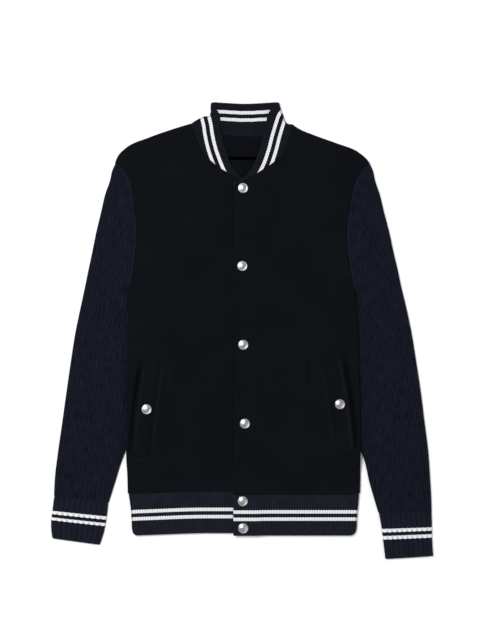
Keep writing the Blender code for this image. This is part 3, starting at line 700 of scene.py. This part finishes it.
# %% The back
WAVE_NECK_FADE = 60.0  # the back's waves fade out this near the neck
WAVES_ABOVE, WAVES_BELOW = 0.4, 0.3  # how much of them the back's two faces follow

right_edge, left_edge = side_edge("right"), side_edge("left")
back_neck = beside(fair(BACK_NECK, evenly(61)), -SEAM_GAP)
right_top = fair([right_edge[-1], *RIGHT_SHOULDER, back_neck[0]], evenly(46))
left_top = fair([left_edge[-1], *LEFT_SHOULDER, back_neck[-1]], evenly(46))
back_top = np.vstack([right_top, back_neck[1:-1], left_top[::-1]])
back_plan = panel_plan(right_edge, left_edge, back_top)
back_base = sleeve_lift(back_plan[..., 0], back_plan[..., 1])
back_bump = waves(back_plan, BACK_WAVES, WAVE_BOW)
back_bump *= ease(distance_to(back_neck, back_plan) / WAVE_NECK_FADE)
back = wall(
    "back_cloth",
    np.dstack([back_plan, back_base + BODY_WALL + WAVES_ABOVE * back_bump]),
    np.dstack([back_plan, back_base + WAVES_BELOW * back_bump.clip(0)]),
    back_plan,
    SHADED_INSIDE_FELT,
)

# %% The fronts
ARMHOLE_RIDGE = (0.5, 4.0, 2.2)  # the armhole's turned edge: height, distance in, half width
SHOULDER_GROOVE = (0.45, 6.5, 1.0)  # the same for the groove along the shoulder seam
HEM_ROLL = (1.1, 9.0, 6.0)  # and for the body's roll above the hem band
EDGE_DROP, EDGE_FALL = 0.8, 5.0  # the folded closing edge sinks this much, over this width
WAVE_SIDE_FADE, WAVE_HEM_FADE = 20.0, 14.0  # the waves fade out this near the seams
PULL_FADE = 30.0  # the hem seam's pull is gone this far above it
SEAM_PULLS = {"right": (3.2, -182.0, 130.0), "left": (-2.0, 188.0, -15.0)}  # up, from x, in


def seam_pull(name, x):
    """How far a front's hem seam is pulled up at a place: nothing at the side, then more."""
    pull, start, reach = SEAM_PULLS[name]
    return pull * ease((x - start) / reach)


def front_plan(name, shoulder, neck):
    """A front's plan: side edge, shoulder, neck seam and a straight closing edge."""
    side = side_edge(name)
    line = beside(fair(neck, evenly(58)), SIDES[name][0] * SEAM_GAP)
    seam = fair([side[-1], *shoulder, line[0]], evenly(48))
    top = np.vstack([seam, line[1:]])
    closing_y = HEM_SEAM_Y + rise_up(side) * (top[-1, 1] - HEM_SEAM_Y)
    closing = np.column_stack([np.full(len(side), top[-1, 0]), closing_y])
    plan = panel_plan(side, closing, top)
    pulled = ease(1 - (plan[..., 1] - HEM_SEAM_Y) / PULL_FADE)
    plan[..., 1] += seam_pull(name, plan[..., 0]) * pulled
    return plan, side, seam


def front_base(name, plan, side, seam):
    """A front's underside, a layer above the back, less where it is sewn, plus its waves, and its
    painted light and shade: it follows the narrow lines, with a painted highlight along the
    shoulder seam and above the hem."""
    x, y, up = plan[..., 0], plan[..., 1], plan[..., 1] - HEM_SEAM_Y
    from_shoulder = distance_to(seam, plan)
    sewn = np.minimum(distance_to(side, plan), from_shoulder)
    gap = SEAM_GAP + (LAYER_GAP - SEAM_GAP) * ease(sewn / EDGE_SLOPE)
    base = sleeve_lift(x, y) + BODY_WALL + gap
    if name == "left":
        uneven = 0.6 + 0.4 * np.sin(y / 34.0 + 2.0) * np.sin(y / 19.0)
        sunk = EDGE_DROP * uneven * ease(1 - (x - CLOSING_EDGE_X) / EDGE_FALL)
        base += overlap_lift(x) - sunk
    lines = waves(plan, FRONT_LINES, LINE_BOW)
    creases = waves(plan, FRONT_WAVES, WAVE_BOW) + lines
    base += creases * ease(sewn / WAVE_SIDE_FADE) * ease(up / WAVE_HEM_FADE)
    base += ridge(distance_to(side[SEAM_ROWS + UNDERARM_ROWS :], plan), *ARMHOLE_RIDGE)
    uneven = 1 + 0.35 * np.sin(x / 31.0) + 0.25 * np.sin(x / 13.0 + 1.0)
    base += uneven * ridge(up, *HEM_ROLL) * ease(sewn / 9)
    base -= ridge(from_shoulder, *SHOULDER_GROOVE)
    # painted highlight on the narrow ridges, along the shoulder seam and above the hem, and
    # painted shade in the narrow hollows
    painted_light_and_shade = 1.1 * lines + 0.25 * ease(1 - from_shoulder / 12)
    return base, painted_light_and_shade + 0.2 * ease(1 - up / 26) * ease(sewn / 4)


fronts = {}
necks = ("right", RIGHT_SHOULDER, RIGHT_NECK), ("left", LEFT_SHOULDER, LEFT_NECK)
for name, shoulder, neck in necks:
    plan, side, seam = front_plan(name, shoulder, neck)
    base, painted_light_and_shade = front_base(name, plan, side, seam)
    outer, inner = np.dstack([plan, base + BODY_WALL]), np.dstack([plan, base])
    fronts[name] = wall(f"front_{name}_cloth", outer, inner, np.dstack([plan, painted_light_and_shade]), BODY_FELT)

# %% [markdown]
# ## Inside the neck
#
# A half-moon of twill covers the back neck seam and reaches a little over it. Its lower edge lifts
# from the felt, and a strip of painted shadow along it draws the dark line seen through the neck.

# %% The half-moon facing
FACING_X, FACING_HALF_WIDTH = 2.4, 58.0
FACING_EDGE_Y, FACING_EDGE_RISE = 274.6, 14.0
FACING_REACH = 0.5  # past the neck seam
FACING_WALL = 1.0
FACING_LIFT, FACING_LIFT_WIDTH = 1.2, 7.0  # the lower edge lifts this high, over this width
FACING_EDGE_SEAM = (0.35, 1.6, 0.9)  # a ridge past the strip of painted shadow: height, distance, half width
PAINTED_SHADOW_TAPER = 5.0  # the strip of painted shadow is this much narrower at the half-moon's two ends

share = np.linspace(-1, 1, 81)
facing_x = share * FACING_HALF_WIDTH + FACING_X
facing_seam = beside(fair(BACK_NECK, evenly(121)), FACING_REACH)
facing_high = np.interp(facing_x, facing_seam[:, 0], facing_seam[:, 1])
facing_low = FACING_EDGE_Y + FACING_EDGE_RISE * np.abs(share) ** 3
rise = (evenly(44) ** 1.4)[:, None]
facing_plan = np.dstack([facing_x + 0 * rise, facing_low * (1 - rise) + facing_high * rise])
from_edge = facing_plan[..., 1] - facing_low
facing_base = BODY_WALL + SEAM_GAP + FACING_LIFT * ease(1 - from_edge / FACING_LIFT_WIDTH)
facing_top = facing_base + FACING_WALL + ridge(from_edge - PAINTED_SHADOW_WIDTH, *FACING_EDGE_SEAM)
facing = wall(
    "neck_facing_cloth",
    np.dstack([facing_plan, facing_top]),
    np.dstack([facing_plan, facing_base]),
    np.dstack([facing_plan[..., 0], from_edge + PAINTED_SHADOW_TAPER * share**2]),
    FACING_TWILL,
)

# %% [markdown]
# ## Sleeves and cuffs
#
# A sleeve that lies flat is a tube pressed to two layers with a rounded fold at each side. Its
# ribs run down it at a constant distance from the outer fold, so they are cut off where the
# armhole crosses them. Along the armhole the tube is open: each layer rolls up beside the seam
# and ends in a tongue under the body's edge. A rib's height is a sine of its share of the pitch,
# raised to a power below one: a round top and a narrow groove.

# %% One section of a flat tube
RIB_POWER = 0.55
RIB_SPLIT = 0.3  # how deep the furrow along a sleeve rib's middle is
FURROW = 0.08  # and its half width, in ribs
RIB_FADE = 3.0  # ribs end over this width before the far edge
UPPER_SHARES = np.array((0.0, 0.08, 0.22, 0.38, 0.5, 0.62, 0.78, 0.92))
LOWER_SHARES = np.array((0.0, 0.25, 0.5, 0.75))
UNDER_RELIEF = 0.8
# The armhole's columns: in from the seam, upper layer's top, underside, lower one's underside, top
ARMHOLE_EDGE = np.array(
    (
        (-0.9, 2.75, 2.35, 1.7, 2.05),
        (0.1, 3.6, 2.7, 0.9, 1.8),
        (1.6, 5.1, 3.2, 0.0, 1.8),
        (3.0, 5.6, 3.6, 0.0, 1.8),
        (4.4, 5.0, 3.2, 0.0, 1.8),
    )
)
EDGE_REACH = 5.0
ROLL_TURNS = np.array((1.0, 0.98, 0.86, 0.75, 0.52))  # the rib's place at each of those columns
FOLD_TURNS = np.linspace(math.pi / 2, -math.pi / 2, 11)[1:-1]  # round a fold, from top to bottom
HALF_HOLLOW = 0.5  # half the room between a sleeve's two layers


def rib(turn, split=0.0):
    """1 on a rib's crown and 0 in a groove, for a place counted in ribs, less a narrow bell at the
    rib's middle."""
    crown = np.abs(np.sin(np.pi * turn)) ** RIB_POWER
    return crown * (1 - ridge(turn % 1, split, 0.5, FURROW))


def tube_columns(width, is_open, upper_ribs, lower_ribs, split):
    """Distance from the outer fold and height, for the outer and the inner face of one section.
    Columns go from the inner edge over the upper layer, round the outer fold and back below. An
    open section's two layers part: each rolls beside its seam and ends in a tongue under it."""
    middle, hollow = SLEEVE_TOP / 2, (SLEEVE_BASE + SLEEVE_BACK) / 2
    end = width - (EDGE_REACH if is_open else SLEEVE_FOLD)
    if is_open:
        inset, top, underside, low_underside, low_top = ARMHOLE_EDGE.T
        upper_edge = (width - inset, top, width - inset, underside)
        lower_edge = (width - inset, low_underside, width - inset, low_top)
    else:
        turn = np.linspace(0, math.pi / 2, 6)[:-1]
        outer = width - SLEEVE_FOLD * (1 - np.cos(turn))
        inner = width - SLEEVE_BACK - (1 - np.cos(turn))
        upper_edge, lower_edge = (
            (outer, middle * (1 + sine), inner, hollow + HALF_HOLLOW * sine)
            for sine in (np.sin(turn), -np.sin(turn))
        )
    layers = []
    for (places, turns), face in ((upper_ribs, SLEEVE_BASE), (lower_ribs, SLEEVE_BACK)):
        fade = ease((end - places) / RIB_FADE)
        if face == SLEEVE_BASE:
            height = SLEEVE_TOP + SLEEVE_RELIEF * rib(turns, split) * fade
        else:
            height = UNDER_RELIEF * (1 - rib(turns)) * fade
        ribbed = np.minimum(places, end)
        below = np.clip(ribbed, SLEEVE_BACK + 1.0, end if is_open else width - SLEEVE_BACK - 1.0)
        layers.append((ribbed, height, below, np.full_like(below, face)))
    upper, lower = layers
    inward, sine = 1 - np.cos(FOLD_TURNS), np.sin(FOLD_TURNS)
    round_fold = (
        SLEEVE_FOLD * inward,
        middle * (1 + sine) + SLEEVE_RELIEF * 0.4 * sine.clip(0),
        SLEEVE_BACK + inward,
        hollow + HALF_HOLLOW * sine,
    )
    parts = (upper_edge, 1), (upper, -1), (round_fold, 1), (lower, 1), (lower_edge, -1)
    return [np.concatenate([part[k][::way] for part, way in parts]) for k in range(4)]


def tube(name, side, sections, places_of, open_rows, material, split=0.0):
    """A wall through dense sections. places_of gives a section's upper and lower rib places, the
    place of its first groove and the map's scale across, from its width."""
    outer, inner, maps = [], [], []
    down = travel(sections[:, :2])
    for row, section in enumerate(sections):
        width = math.dist(section[:2], section[2:])
        upper_ribs, lower_ribs, first, scale = places_of(width)
        columns = tube_columns(width, row <= open_rows, upper_ribs, lower_ribs, split)
        direction = (section[2:] - section[:2]) / width
        for k, points in ((0, outer), (2, inner)):
            place = section[:2] + columns[k][:, None] * direction
            points.append(np.column_stack([side * place[:, 0], place[:, 1], columns[k + 1]]))
        across = (columns[0] - first) * scale
        if row <= open_rows:  # beside the armhole one half rib runs along the seam
            across[: len(ROLL_TURNS)] = ROLL_TURNS * SLEEVE_PITCH
        maps.append(np.column_stack([across, np.full(len(across), down[row])]))
    return wall(name, *map(np.array, (outer, inner, maps)), material, open_rows, soft_sides=False)


# %% The sleeves
SLEEVE_RIBS = 19
HOLE_ROWS, UNDER_ROWS, ARM_ROWS = 64, 8, 92  # along the armhole, under the arm, and down the arm
SLEEVE_KNIT = rib_knit("navy_sleeve_rib", SLEEVE_PITCH, 3.4, (4, 6, 12), (25, 29, 44), split=0.9)


def sleeve_places(_):
    """Ribs at a constant distance from the outer fold, at any width."""
    places = []
    for shares in (UPPER_SHARES, LOWER_SHARES):
        turns = (np.arange(SLEEVE_RIBS)[:, None] + shares).ravel()
        places.append((turns * SLEEVE_PITCH + SLEEVE_FIRST_GROOVE, turns))
    return *places, SLEEVE_FIRST_GROOVE, 1.0


def dense_sleeve(sections):
    """Sections along the sleeve. Its outer fold is one fair curve. The inner edge is fair down to
    the underarm and from the side seam on, and straight between them."""
    sections = np.array(sections)
    corner, down = ARMHOLE_SECTIONS - 1, HOLE_ROWS + UNDER_ROWS - 1
    under = evenly(UNDER_ROWS)[1:]
    arm = np.linspace(corner + 1, len(sections) - 1, ARM_ROWS)[1:]
    numbers = np.concatenate([np.linspace(0, corner, HOLE_ROWS), corner + under, arm])
    outer = fair(sections[:, :2], numbers, by_number=True)
    inner = sections[:, 2:]
    hole = fair(inner[: corner + 1], numbers[:HOLE_ROWS], by_number=True)
    straight = inner[corner] + (inner[corner + 1] - inner[corner]) * under[:, None]
    arm = fair(inner[corner + 1 :], numbers[down:] - corner - 1, by_number=True)
    return np.column_stack([outer, np.vstack([hole, straight, arm])])


sleeves = {}
for name, (side, sections) in SIDES.items():
    dense = dense_sleeve(sections)
    sleeves[name] = tube(
        f"sleeve_{name}_knit", side, dense, sleeve_places, HOLE_ROWS - 1, SLEEVE_KNIT, RIB_SPLIT
    )

# %% The cuffs
CUFF_STRIPES = {"right": ((22.8, 27.8), (33.2, 37.6)), "left": ((24.0, 29.3), (35.0, 40.4))}
CUFF_SHARES = np.array((0.0, 0.07, 0.2, 0.35, 0.5, 0.65, 0.8, 0.93))
CUFF_PITCH = 8.5


def cuff_places(width):
    """Ribs that share the width; the two outermost are the folds."""
    turns = (np.arange(1, CUFF_RIBS - 1)[:, None] + CUFF_SHARES).ravel()
    turns = np.append(turns, CUFF_RIBS - 1.0)
    ribs = (turns / CUFF_RIBS * width, turns)
    return ribs, ribs, 0.0, CUFF_PITCH * CUFF_RIBS / width


cuffs = {}
for name, sections in (("right", RIGHT_CUFF), ("left", LEFT_CUFF)):
    stripes = CUFF_STRIPES[name]
    knit = rib_knit(f"cuff_rib_{name}", CUFF_PITCH, 2.4, (9, 11, 20), (29, 32, 46), stripes)
    dense = fair(sections, evenly(34))
    cuffs[name] = tube(f"cuff_{name}_knit", SIDES[name][0], dense, cuff_places, -1, knit)

# %% [markdown]
# ## Hem band and collar
#
# Both are one strip of fine rib, folded at the two sides so that it has three stretches: the under
# front, the back, and the front that closes over. Its ribs run from the seam to the free edge, and
# its two white stripes keep their distance from the free edge. Round the collar's folds the
# stripes go on from those of the fronts to those of the back.

# %% A band's columns
BAND_SHARES = np.array((0.0, 0.14, 0.38, 0.62, 0.86))


def stretch_columns(stretch, length):
    """Columns of one stretch: share of its length, millimetres inwards from its folds, and turns
    of rib. The stretch's free end has no fold to keep clear of."""
    ribs = round(length / BAND_PITCH)
    turns = np.append((np.arange(ribs)[:, None] + BAND_SHARES).ravel(), ribs)
    share = turns / ribs
    inset = (-share, 1 - 2 * share, 1 - share)[stretch] * BAND_FOLD
    return share, inset, turns


def fold_face(lines, k, reach, size, middle, tall, relief):
    """One face's points round the fold after stretch k. The fold is half an ellipse seen from its
    end: its upper half follows the front's line and its lower half the back's."""
    turn = FOLD_TURNS * (1 if k == 0 else -1)
    inward, sine = reach + size * (1 - np.cos(turn)), np.sin(turn)
    long = [travel(line)[-1] for line in lines]
    if k == 0:
        front, back = along(lines[0], long[0] - inward), along(lines[1], inward)
    else:
        front, back = along(lines[2], inward), along(lines[1], long[1] - inward)
    place = np.where(sine[:, None] > 0, front, back)
    return np.column_stack([place, middle + tall * sine + relief * sine.clip(0)])


def band_rows(rows, back_is_ribbed):
    """Outer and inner points, map across and columns per stretch of a band, from rows of three
    dense lines in plan."""
    top = FRONT_BASE + BAND_WALL
    outer_fold = (0.0, BAND_FOLD, top / 2, top / 2, BAND_RELIEF * 0.5)
    inner_fold = (BAND_WALL, 1.0, top / 2, (FRONT_BASE - BAND_WALL) / 2, 0.0)
    columns = [stretch_columns(k, travel(line)[-1]) for k, line in enumerate(rows[0])]
    outer, inner = [], []
    for lines in rows:
        faces = [], []
        for k, line in enumerate(lines):
            share, inset, turns = columns[k]
            crown = rib(turns)
            place = along(line, share * travel(line)[-1] + inset)
            if k == 1:
                over = BAND_WALL + BAND_RELIEF * crown * back_is_ribbed
                heights = (BAND_RELIEF * (1 - crown), over)
            else:
                lift = overlap_lift(place[:, 0]) if k == 2 else 0.0
                heights = (top + BAND_RELIEF * crown + lift, FRONT_BASE + lift + 0 * crown)
            for face, height, fold in zip(faces, heights, (outer_fold, inner_fold)):
                face.append(np.column_stack([place, height]))
                if k < 2:
                    face.append(fold_face(lines, k, *fold))
        outer.append(np.vstack(faces[0]))
        inner.append(np.vstack(faces[1]))
    turns = [columns[0][2]]
    for _, _, more in columns[1:]:
        last = turns[-1][-1]
        turns += [np.full(len(FOLD_TURNS), last), more + last]
    counts = [len(part) for part in turns]
    return np.array(outer), np.array(inner), np.concatenate(turns) * BAND_PITCH, counts


# %% The hem band
HEM_STRIPES = ((24.2, 29.6), (35.8, 41.2))
HEM_KNIT = rib_knit("hem_rib", BAND_PITCH, 1.9, (11, 13, 21), (33, 36, 48), HEM_STRIPES)
HEM_RISE = 4.0  # how far the under front's end of the band is pulled up
HEM_PULL_DEPTH = 0.4  # the seam's own pull gives way to that over this share of the band


def hem_pull(x, right, drop):
    """The right front's pull at a place: as much as its seam has at the seam, and further down
    what the free edge has, eased in from the right fold."""
    edge_pull = HEM_RISE * ease(0.15 + 0.85 * (x - right) / 120) * ease((x - right) / 12)
    share = ease(drop / HEM_PULL_DEPTH)
    return share * edge_pull, (1 - share) * seam_pull("right", x)


def hem_lines():
    """Rows of the hem band from its seam to its free edge. The right front's end is pulled up."""
    sides = fair([(y, right, left) for y, right, left in HEM_ROWS], evenly(26))
    rows = []
    for y, right, left in sides:
        drop = (HEM_ROWS[0][0] - y) / (HEM_ROWS[0][0] - HEM_ROWS[-1][0])
        x = np.linspace(UNDER_EDGE_X, right, 90)
        front = np.column_stack([x, y + sum(hem_pull(x, right, drop))])
        x = np.linspace(right, left, 120)
        back = np.column_stack([x, y + hem_pull(x, right, drop)[0] * ease((20 - x) / 30)])
        x = np.linspace(left, CLOSING_EDGE_X, 90)
        eased = 1 - ease(drop / HEM_PULL_DEPTH)
        over = np.column_stack([x, y + eased * seam_pull("left", x)])
        rows.append((front, back, over))
    return rows, sides[:, 0]


hem_rows, hem_levels = hem_lines()
hem_outer, hem_inner, hem_across, _ = band_rows(hem_rows, 0.0)
hem_up = np.broadcast_to((hem_levels - HEM_ROWS[-1][0])[:, None], hem_outer.shape[:2])
hem_maps = np.dstack([np.broadcast_to(hem_across, hem_up.shape), hem_up])
hem = wall("hem_band_knit", hem_outer, hem_inner, hem_maps, HEM_KNIT)

# %% The collar
COLLAR_STRIPES = ((11.6, 16.9), (23.3, 28.5))
COLLAR_KNIT = rib_knit("collar_rib", BAND_PITCH, 1.9, (7, 9, 15), (24, 27, 37), COLLAR_STRIPES)
NECK_DRAW = (2.8, 346.0, 12.0)  # a front's free edge is drawn in: how far, at which y, half width
COLLAR_SCALLOP = 0.9  # each rib ends a little beyond its grooves
BACK_STRIPE_DROP = 0.25  # the back's stripes lie this much further from its free edge


def between(low, high, rise, ends):
    """A line part of the way from one to another, its ends drawn to given places."""
    line = low * (1 - rise) + high * rise
    share = evenly(len(line))[:, None]
    for end, weight in zip(ends, (1 - share, share)):
        if end is not None:
            line = line + weight**3 * (end - line[0 if weight[0] else -1])
    return line


def even_line(points, count=140):
    """A fair curve, with its points the same distance apart."""
    dense = fair(points, evenly(4 * count))
    return along(dense, evenly(count) * travel(dense)[-1])


def drawn_in(y):
    """How far a front's free edge is drawn to the middle behind the neck, unlike its stripes."""
    return ridge(y, *NECK_DRAW)


def collar_lines():
    """Rows of the collar from the neck seam to its free edge."""
    low = [even_line(neck) for neck in (RIGHT_NECK, BACK_NECK, LEFT_NECK)]
    high = [even_line(edge) for edge in (RIGHT_COLLAR_TOP, BACK_COLLAR_TOP, LEFT_COLLAR_TOP)]
    for front, side in ((0, 1), (2, -1)):
        high[front][:, 0] += side * drawn_in(high[front][:, 1])
    tables = np.array(RIGHT_COLLAR_FOLD), np.array(LEFT_COLLAR_FOLD)
    folds = [fair(table[:, [1, 2, 0]], evenly(60)) for table in tables]
    rows = []
    for rise in evenly(28):
        ends = [[np.interp(rise, fold[:, 2], fold[:, k]) for k in (0, 1)] for fold in folds]
        right, left = np.array(ends)
        pairs = (right, None), (right, left), (left, None)
        lines = [between(*both, rise, pair) for *both, pair in zip(low, high, pairs)]
        rows.append((lines[0][::-1], *lines[1:]))
    return rows


collar_outer, collar_inner, collar_across, counts = band_rows(collar_lines(), 1.0)
for face in (collar_outer, collar_inner):
    outward = face[-1, :, :2] - face[-2, :, :2]
    outward /= np.linalg.norm(outward, axis=1, keepdims=True)
    face[-1, :, :2] += outward * COLLAR_SCALLOP * (rib(collar_across / BAND_PITCH)[:, None] - 0.5)
stretches = np.split(collar_outer[..., :2], np.cumsum(counts)[:-1], axis=1)


def carried_on(edge):
    """A place straight on before an edge's first point."""
    return edge[0] + (edge[0] - edge[8]) * 3


def from_free_edge(front, stretch):
    """Distance of a stretch's places from a free edge: a front's, or the back's, whose edge runs
    straight on past the folds."""
    edge = stretches[front][-1].copy()
    if front == 2:
        edge = np.vstack([carried_on(edge), edge, carried_on(edge[::-1])])
    else:
        edge[:, 0] += (1 if front else -1) * drawn_in(edge[:, 1])
    edge = along(edge, np.arange(0, travel(edge)[-1], 0.8))
    return distance_to(edge, stretch) - BACK_STRIPE_DROP * (front == 2)


collar_up = [from_free_edge(k, stretch) for k, stretch in enumerate(stretches)]
for fold, front in ((1, 0), (3, 4)):  # the stripes go round a fold, and meet the back's below it
    share = ease((evenly(len(FOLD_TURNS)) - 0.5) / 0.5)[:: 1 if fold == 1 else -1]
    sides = [from_free_edge(k, stretches[fold]) for k in (front, 2)]
    collar_up[fold] = sides[0] * (1 - share) + sides[1] * share
collar_up = np.hstack(collar_up)
collar_maps = np.dstack([np.broadcast_to(collar_across, collar_up.shape), collar_up])
collar = wall("collar_knit", collar_outer, collar_inner, collar_maps, COLLAR_KNIT)

# %% [markdown]
# ## Pocket welts
#
# Each slanted pocket has a folded strip of the body's felt lying on the front, stitched down along
# its inner side and across both ends. It is made on the front's own surface, moved out by its
# thickness. Its outer side is the pocket's mouth, so it stands a little higher and rolls.

# %% Welts
RIGHT_WELT = ((-160.5, -50.0), (-130.9, -46.5), (-150.3, -204.0), (-178.0, -200.0))
LEFT_WELT = ((158.5, -38.0), (130.5, -44.0), (152.5, -200.0), (181.0, -194.0))
MOUTH_BOW = 2.6  # the mouth side bows outwards by this much
MOUTH_LIFT, MOUTH_REACH = 1.2, 9.0  # it stands this high, down to nothing this far in
MOUTH_ROLL = (0.5, 4.5, 2.4)  # a ridge along it: height, distance in, half width
MOUTH_HIGHLIGHT, MOUTH_SHADE = (0.75, 5.0, 2.2), (0.9, 0.0, 1.6)  # its painted highlight and painted shade, in the same way
WELT_WIDTH, WELT_LENGTH, WELT_WALL = 29.0, 155.0, 1.4
LONG_STITCHES, END_STITCHES = (1.0, 26.5, 0.8), (1.0, 5.0, 0.8)  # its grooves, in the same way
STITCH_DEPTH = 0.3  # for both
LYING_GAP = 0.5


def surface_of(made):
    """A piece's surface, for rays to meet."""
    return BVHTree.FromObject(made, bpy.context.evaluated_depsgraph_get())


def height_at(surface, x, y):
    """Height of the highest cloth at a place."""
    place = surface.ray_cast(Vector((x * MM, y * MM, 1.0)), Vector((0, 0, -1)))[0]
    return place.z / MM


def make_welt(name, corners):
    """A strip with a stitched groove along its inner side and one across each end. Its mouth side
    is lifted and rolled, and its wall thins towards the three sides where it is stitched down."""
    surface = surface_of(fronts[name])
    corners = np.array(corners)
    across, down = evenly(33)[None, :, None], evenly(96)[:, None, None]
    top = corners[0] + (corners[1] - corners[0]) * across
    bottom = corners[3] + (corners[2] - corners[3]) * across
    plan = top * (1 - down) + bottom * down
    bow = MOUTH_BOW * (1 - across[..., 0]) * np.sin(np.pi * down[..., 0])
    plan[..., 0] += SIDES[name][0] * bow
    height = np.array([height_at(surface, x, y) for x, y in plan.reshape(-1, 2)])
    inset = across[..., 0] * WELT_WIDTH
    from_end = (0.5 - np.abs(down[..., 0] - 0.5)) * WELT_LENGTH
    stitched = STITCH_DEPTH * (ridge(inset, *LONG_STITCHES) + ridge(from_end, *END_STITCHES))
    open_share = ease(from_end / 14)
    lift = MOUTH_LIFT * ease(1 - inset / MOUTH_REACH)
    base = height.reshape(plan.shape[:2]) + LYING_GAP
    base += open_share * (lift + ridge(inset, *MOUTH_ROLL))
    thinner = np.maximum(ease((inset - 23.0) / 6.0), ease(1 - from_end / 4.0))
    outer = np.dstack([plan, base + WELT_WALL * (1 - 0.7 * thinner) - stitched])
    # painted highlight on the mouth's roll, and painted shade along the mouth's edge and in the
    # stitched grooves
    painted_light_and_shade = open_share * (ridge(inset, *MOUTH_HIGHLIGHT) - ridge(inset, *MOUTH_SHADE)) - stitched
    maps = np.dstack([0 * down[..., 0] + inset, WELT_LENGTH * down[..., 0] + 0 * inset, painted_light_and_shade])
    return wall(f"welt_{name}_cloth", outer, np.dstack([plan, base]), maps, BODY_FELT)


welts = {"right": make_welt("right", RIGHT_WELT), "left": make_welt("left", LEFT_WELT)}

# %% [markdown]
# ## Snap caps
#
# Eight plain domed caps close the front, the hem band and the two pockets. A cap is a profile
# turned round its middle: a low dome, a fine step, a rolled rim. Each one lies on the cloth below
# it, tilted with it.

# %% Snap caps
SNAPS = (
    ("snap_front_1", 1.0, 228.8, fronts["left"]),
    ("snap_front_2", 0.0, 103.7, fronts["left"]),
    ("snap_front_3", 1.4, -22.9, fronts["left"]),
    ("snap_front_4", 4.0, -149.4, fronts["left"]),
    ("snap_hem_1", 0.5, -273.9, hem),
    ("snap_hem_2", 1.3, -317.3, hem),
    ("snap_pocket_right", -153.6, -126.1, welts["right"]),
    ("snap_pocket_left", 156.3, -118.0, welts["left"]),
)
CAP_PROFILE = (  # radius, height
    (0, 3.1), (1.2, 3.06), (2.4, 2.93), (3.6, 2.71), (4.8, 2.38), (5.7, 2.06), (6, 1.92),
    (6.3, 1.94), (6.7, 2.1), (7.3, 1.9), (7.9, 1.45), (8.3, 0.9), (8.4, 0.45), (8.1, 0.1),
    (7.5, 0), (0, 0),
)
CAP_STEPS = 64
CAP_REST = 6.5  # the cap rests on the cloth along a circle of this radius,
CAP_GAP = 0.3  # this far above it


def cap_points():
    """The profile turned round the upright axis: radius times cosine and sine, and height."""
    radius, height = np.array(CAP_PROFILE).T
    turn = np.linspace(0, math.tau, CAP_STEPS + 1)[:, None]
    return np.dstack([radius * np.cos(turn), radius * np.sin(turn), height + 0 * turn])


def make_snap(name, x, y, carrier):
    """A cap on the cloth: its tilt is the slope of the cloth's height round its rim."""
    surface = surface_of(carrier)
    turn = np.linspace(0, math.tau, 16, endpoint=False)
    ring = np.column_stack([np.cos(turn), np.sin(turn)]) * CAP_REST
    heights = np.array([height_at(surface, x + dx, y + dy) for dx, dy in ring])
    slope = 2 * (ring * (heights[:, None] - heights.mean())).mean(axis=0) / CAP_REST**2
    level = max((heights - ring @ slope).max(), height_at(surface, x, y))
    points = cap_points()
    up = np.array((-slope[0], -slope[1], 1.0)) / math.sqrt(1 + slope @ slope)
    side = np.cross((0, 1, 0), up)
    side /= np.linalg.norm(side)
    placed = points @ np.array([side, np.cross(up, side), up]) + (x, y, level + CAP_GAP)
    faces = quads(np.arange(placed[..., 0].size).reshape(placed.shape[:2]))
    maps = points[..., :2].reshape(-1, 2)
    return make_piece(f"{name}_cap", placed.reshape(-1, 3), faces, maps, NICKEL)


snaps = {name: make_snap(name, x, y, carrier) for name, x, y, carrier in SNAPS}

# %% [markdown]
# ## Joining the frame
#
# A garment is one body. Each piece rides on it and takes the place of its solid.

# %% Ride and replace
def seat(piece, node):
    """Joins a piece to the body, in the place of its solid."""
    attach(piece, "root")
    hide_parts(node)


seat(back, "back")
seat(facing, "neck_facing")
seat(hem, "hem_band")
seat(collar, "collar")
for name in SIDES:
    seat(fronts[name], f"front_{name}")
    seat(welts[name], f"welt_{name}")
    seat(sleeves[name], f"sleeve_{name}")
    seat(cuffs[name], f"cuff_{name}")
for name, piece in snaps.items():
    seat(piece, name)

# %% Sizes, and the end
visual_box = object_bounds()
grown = [[round(1000 * (v - c), 1) for v, c in zip(*pair)] for pair in zip(visual_box, cad_box)]
print("grown, mm:", grown)
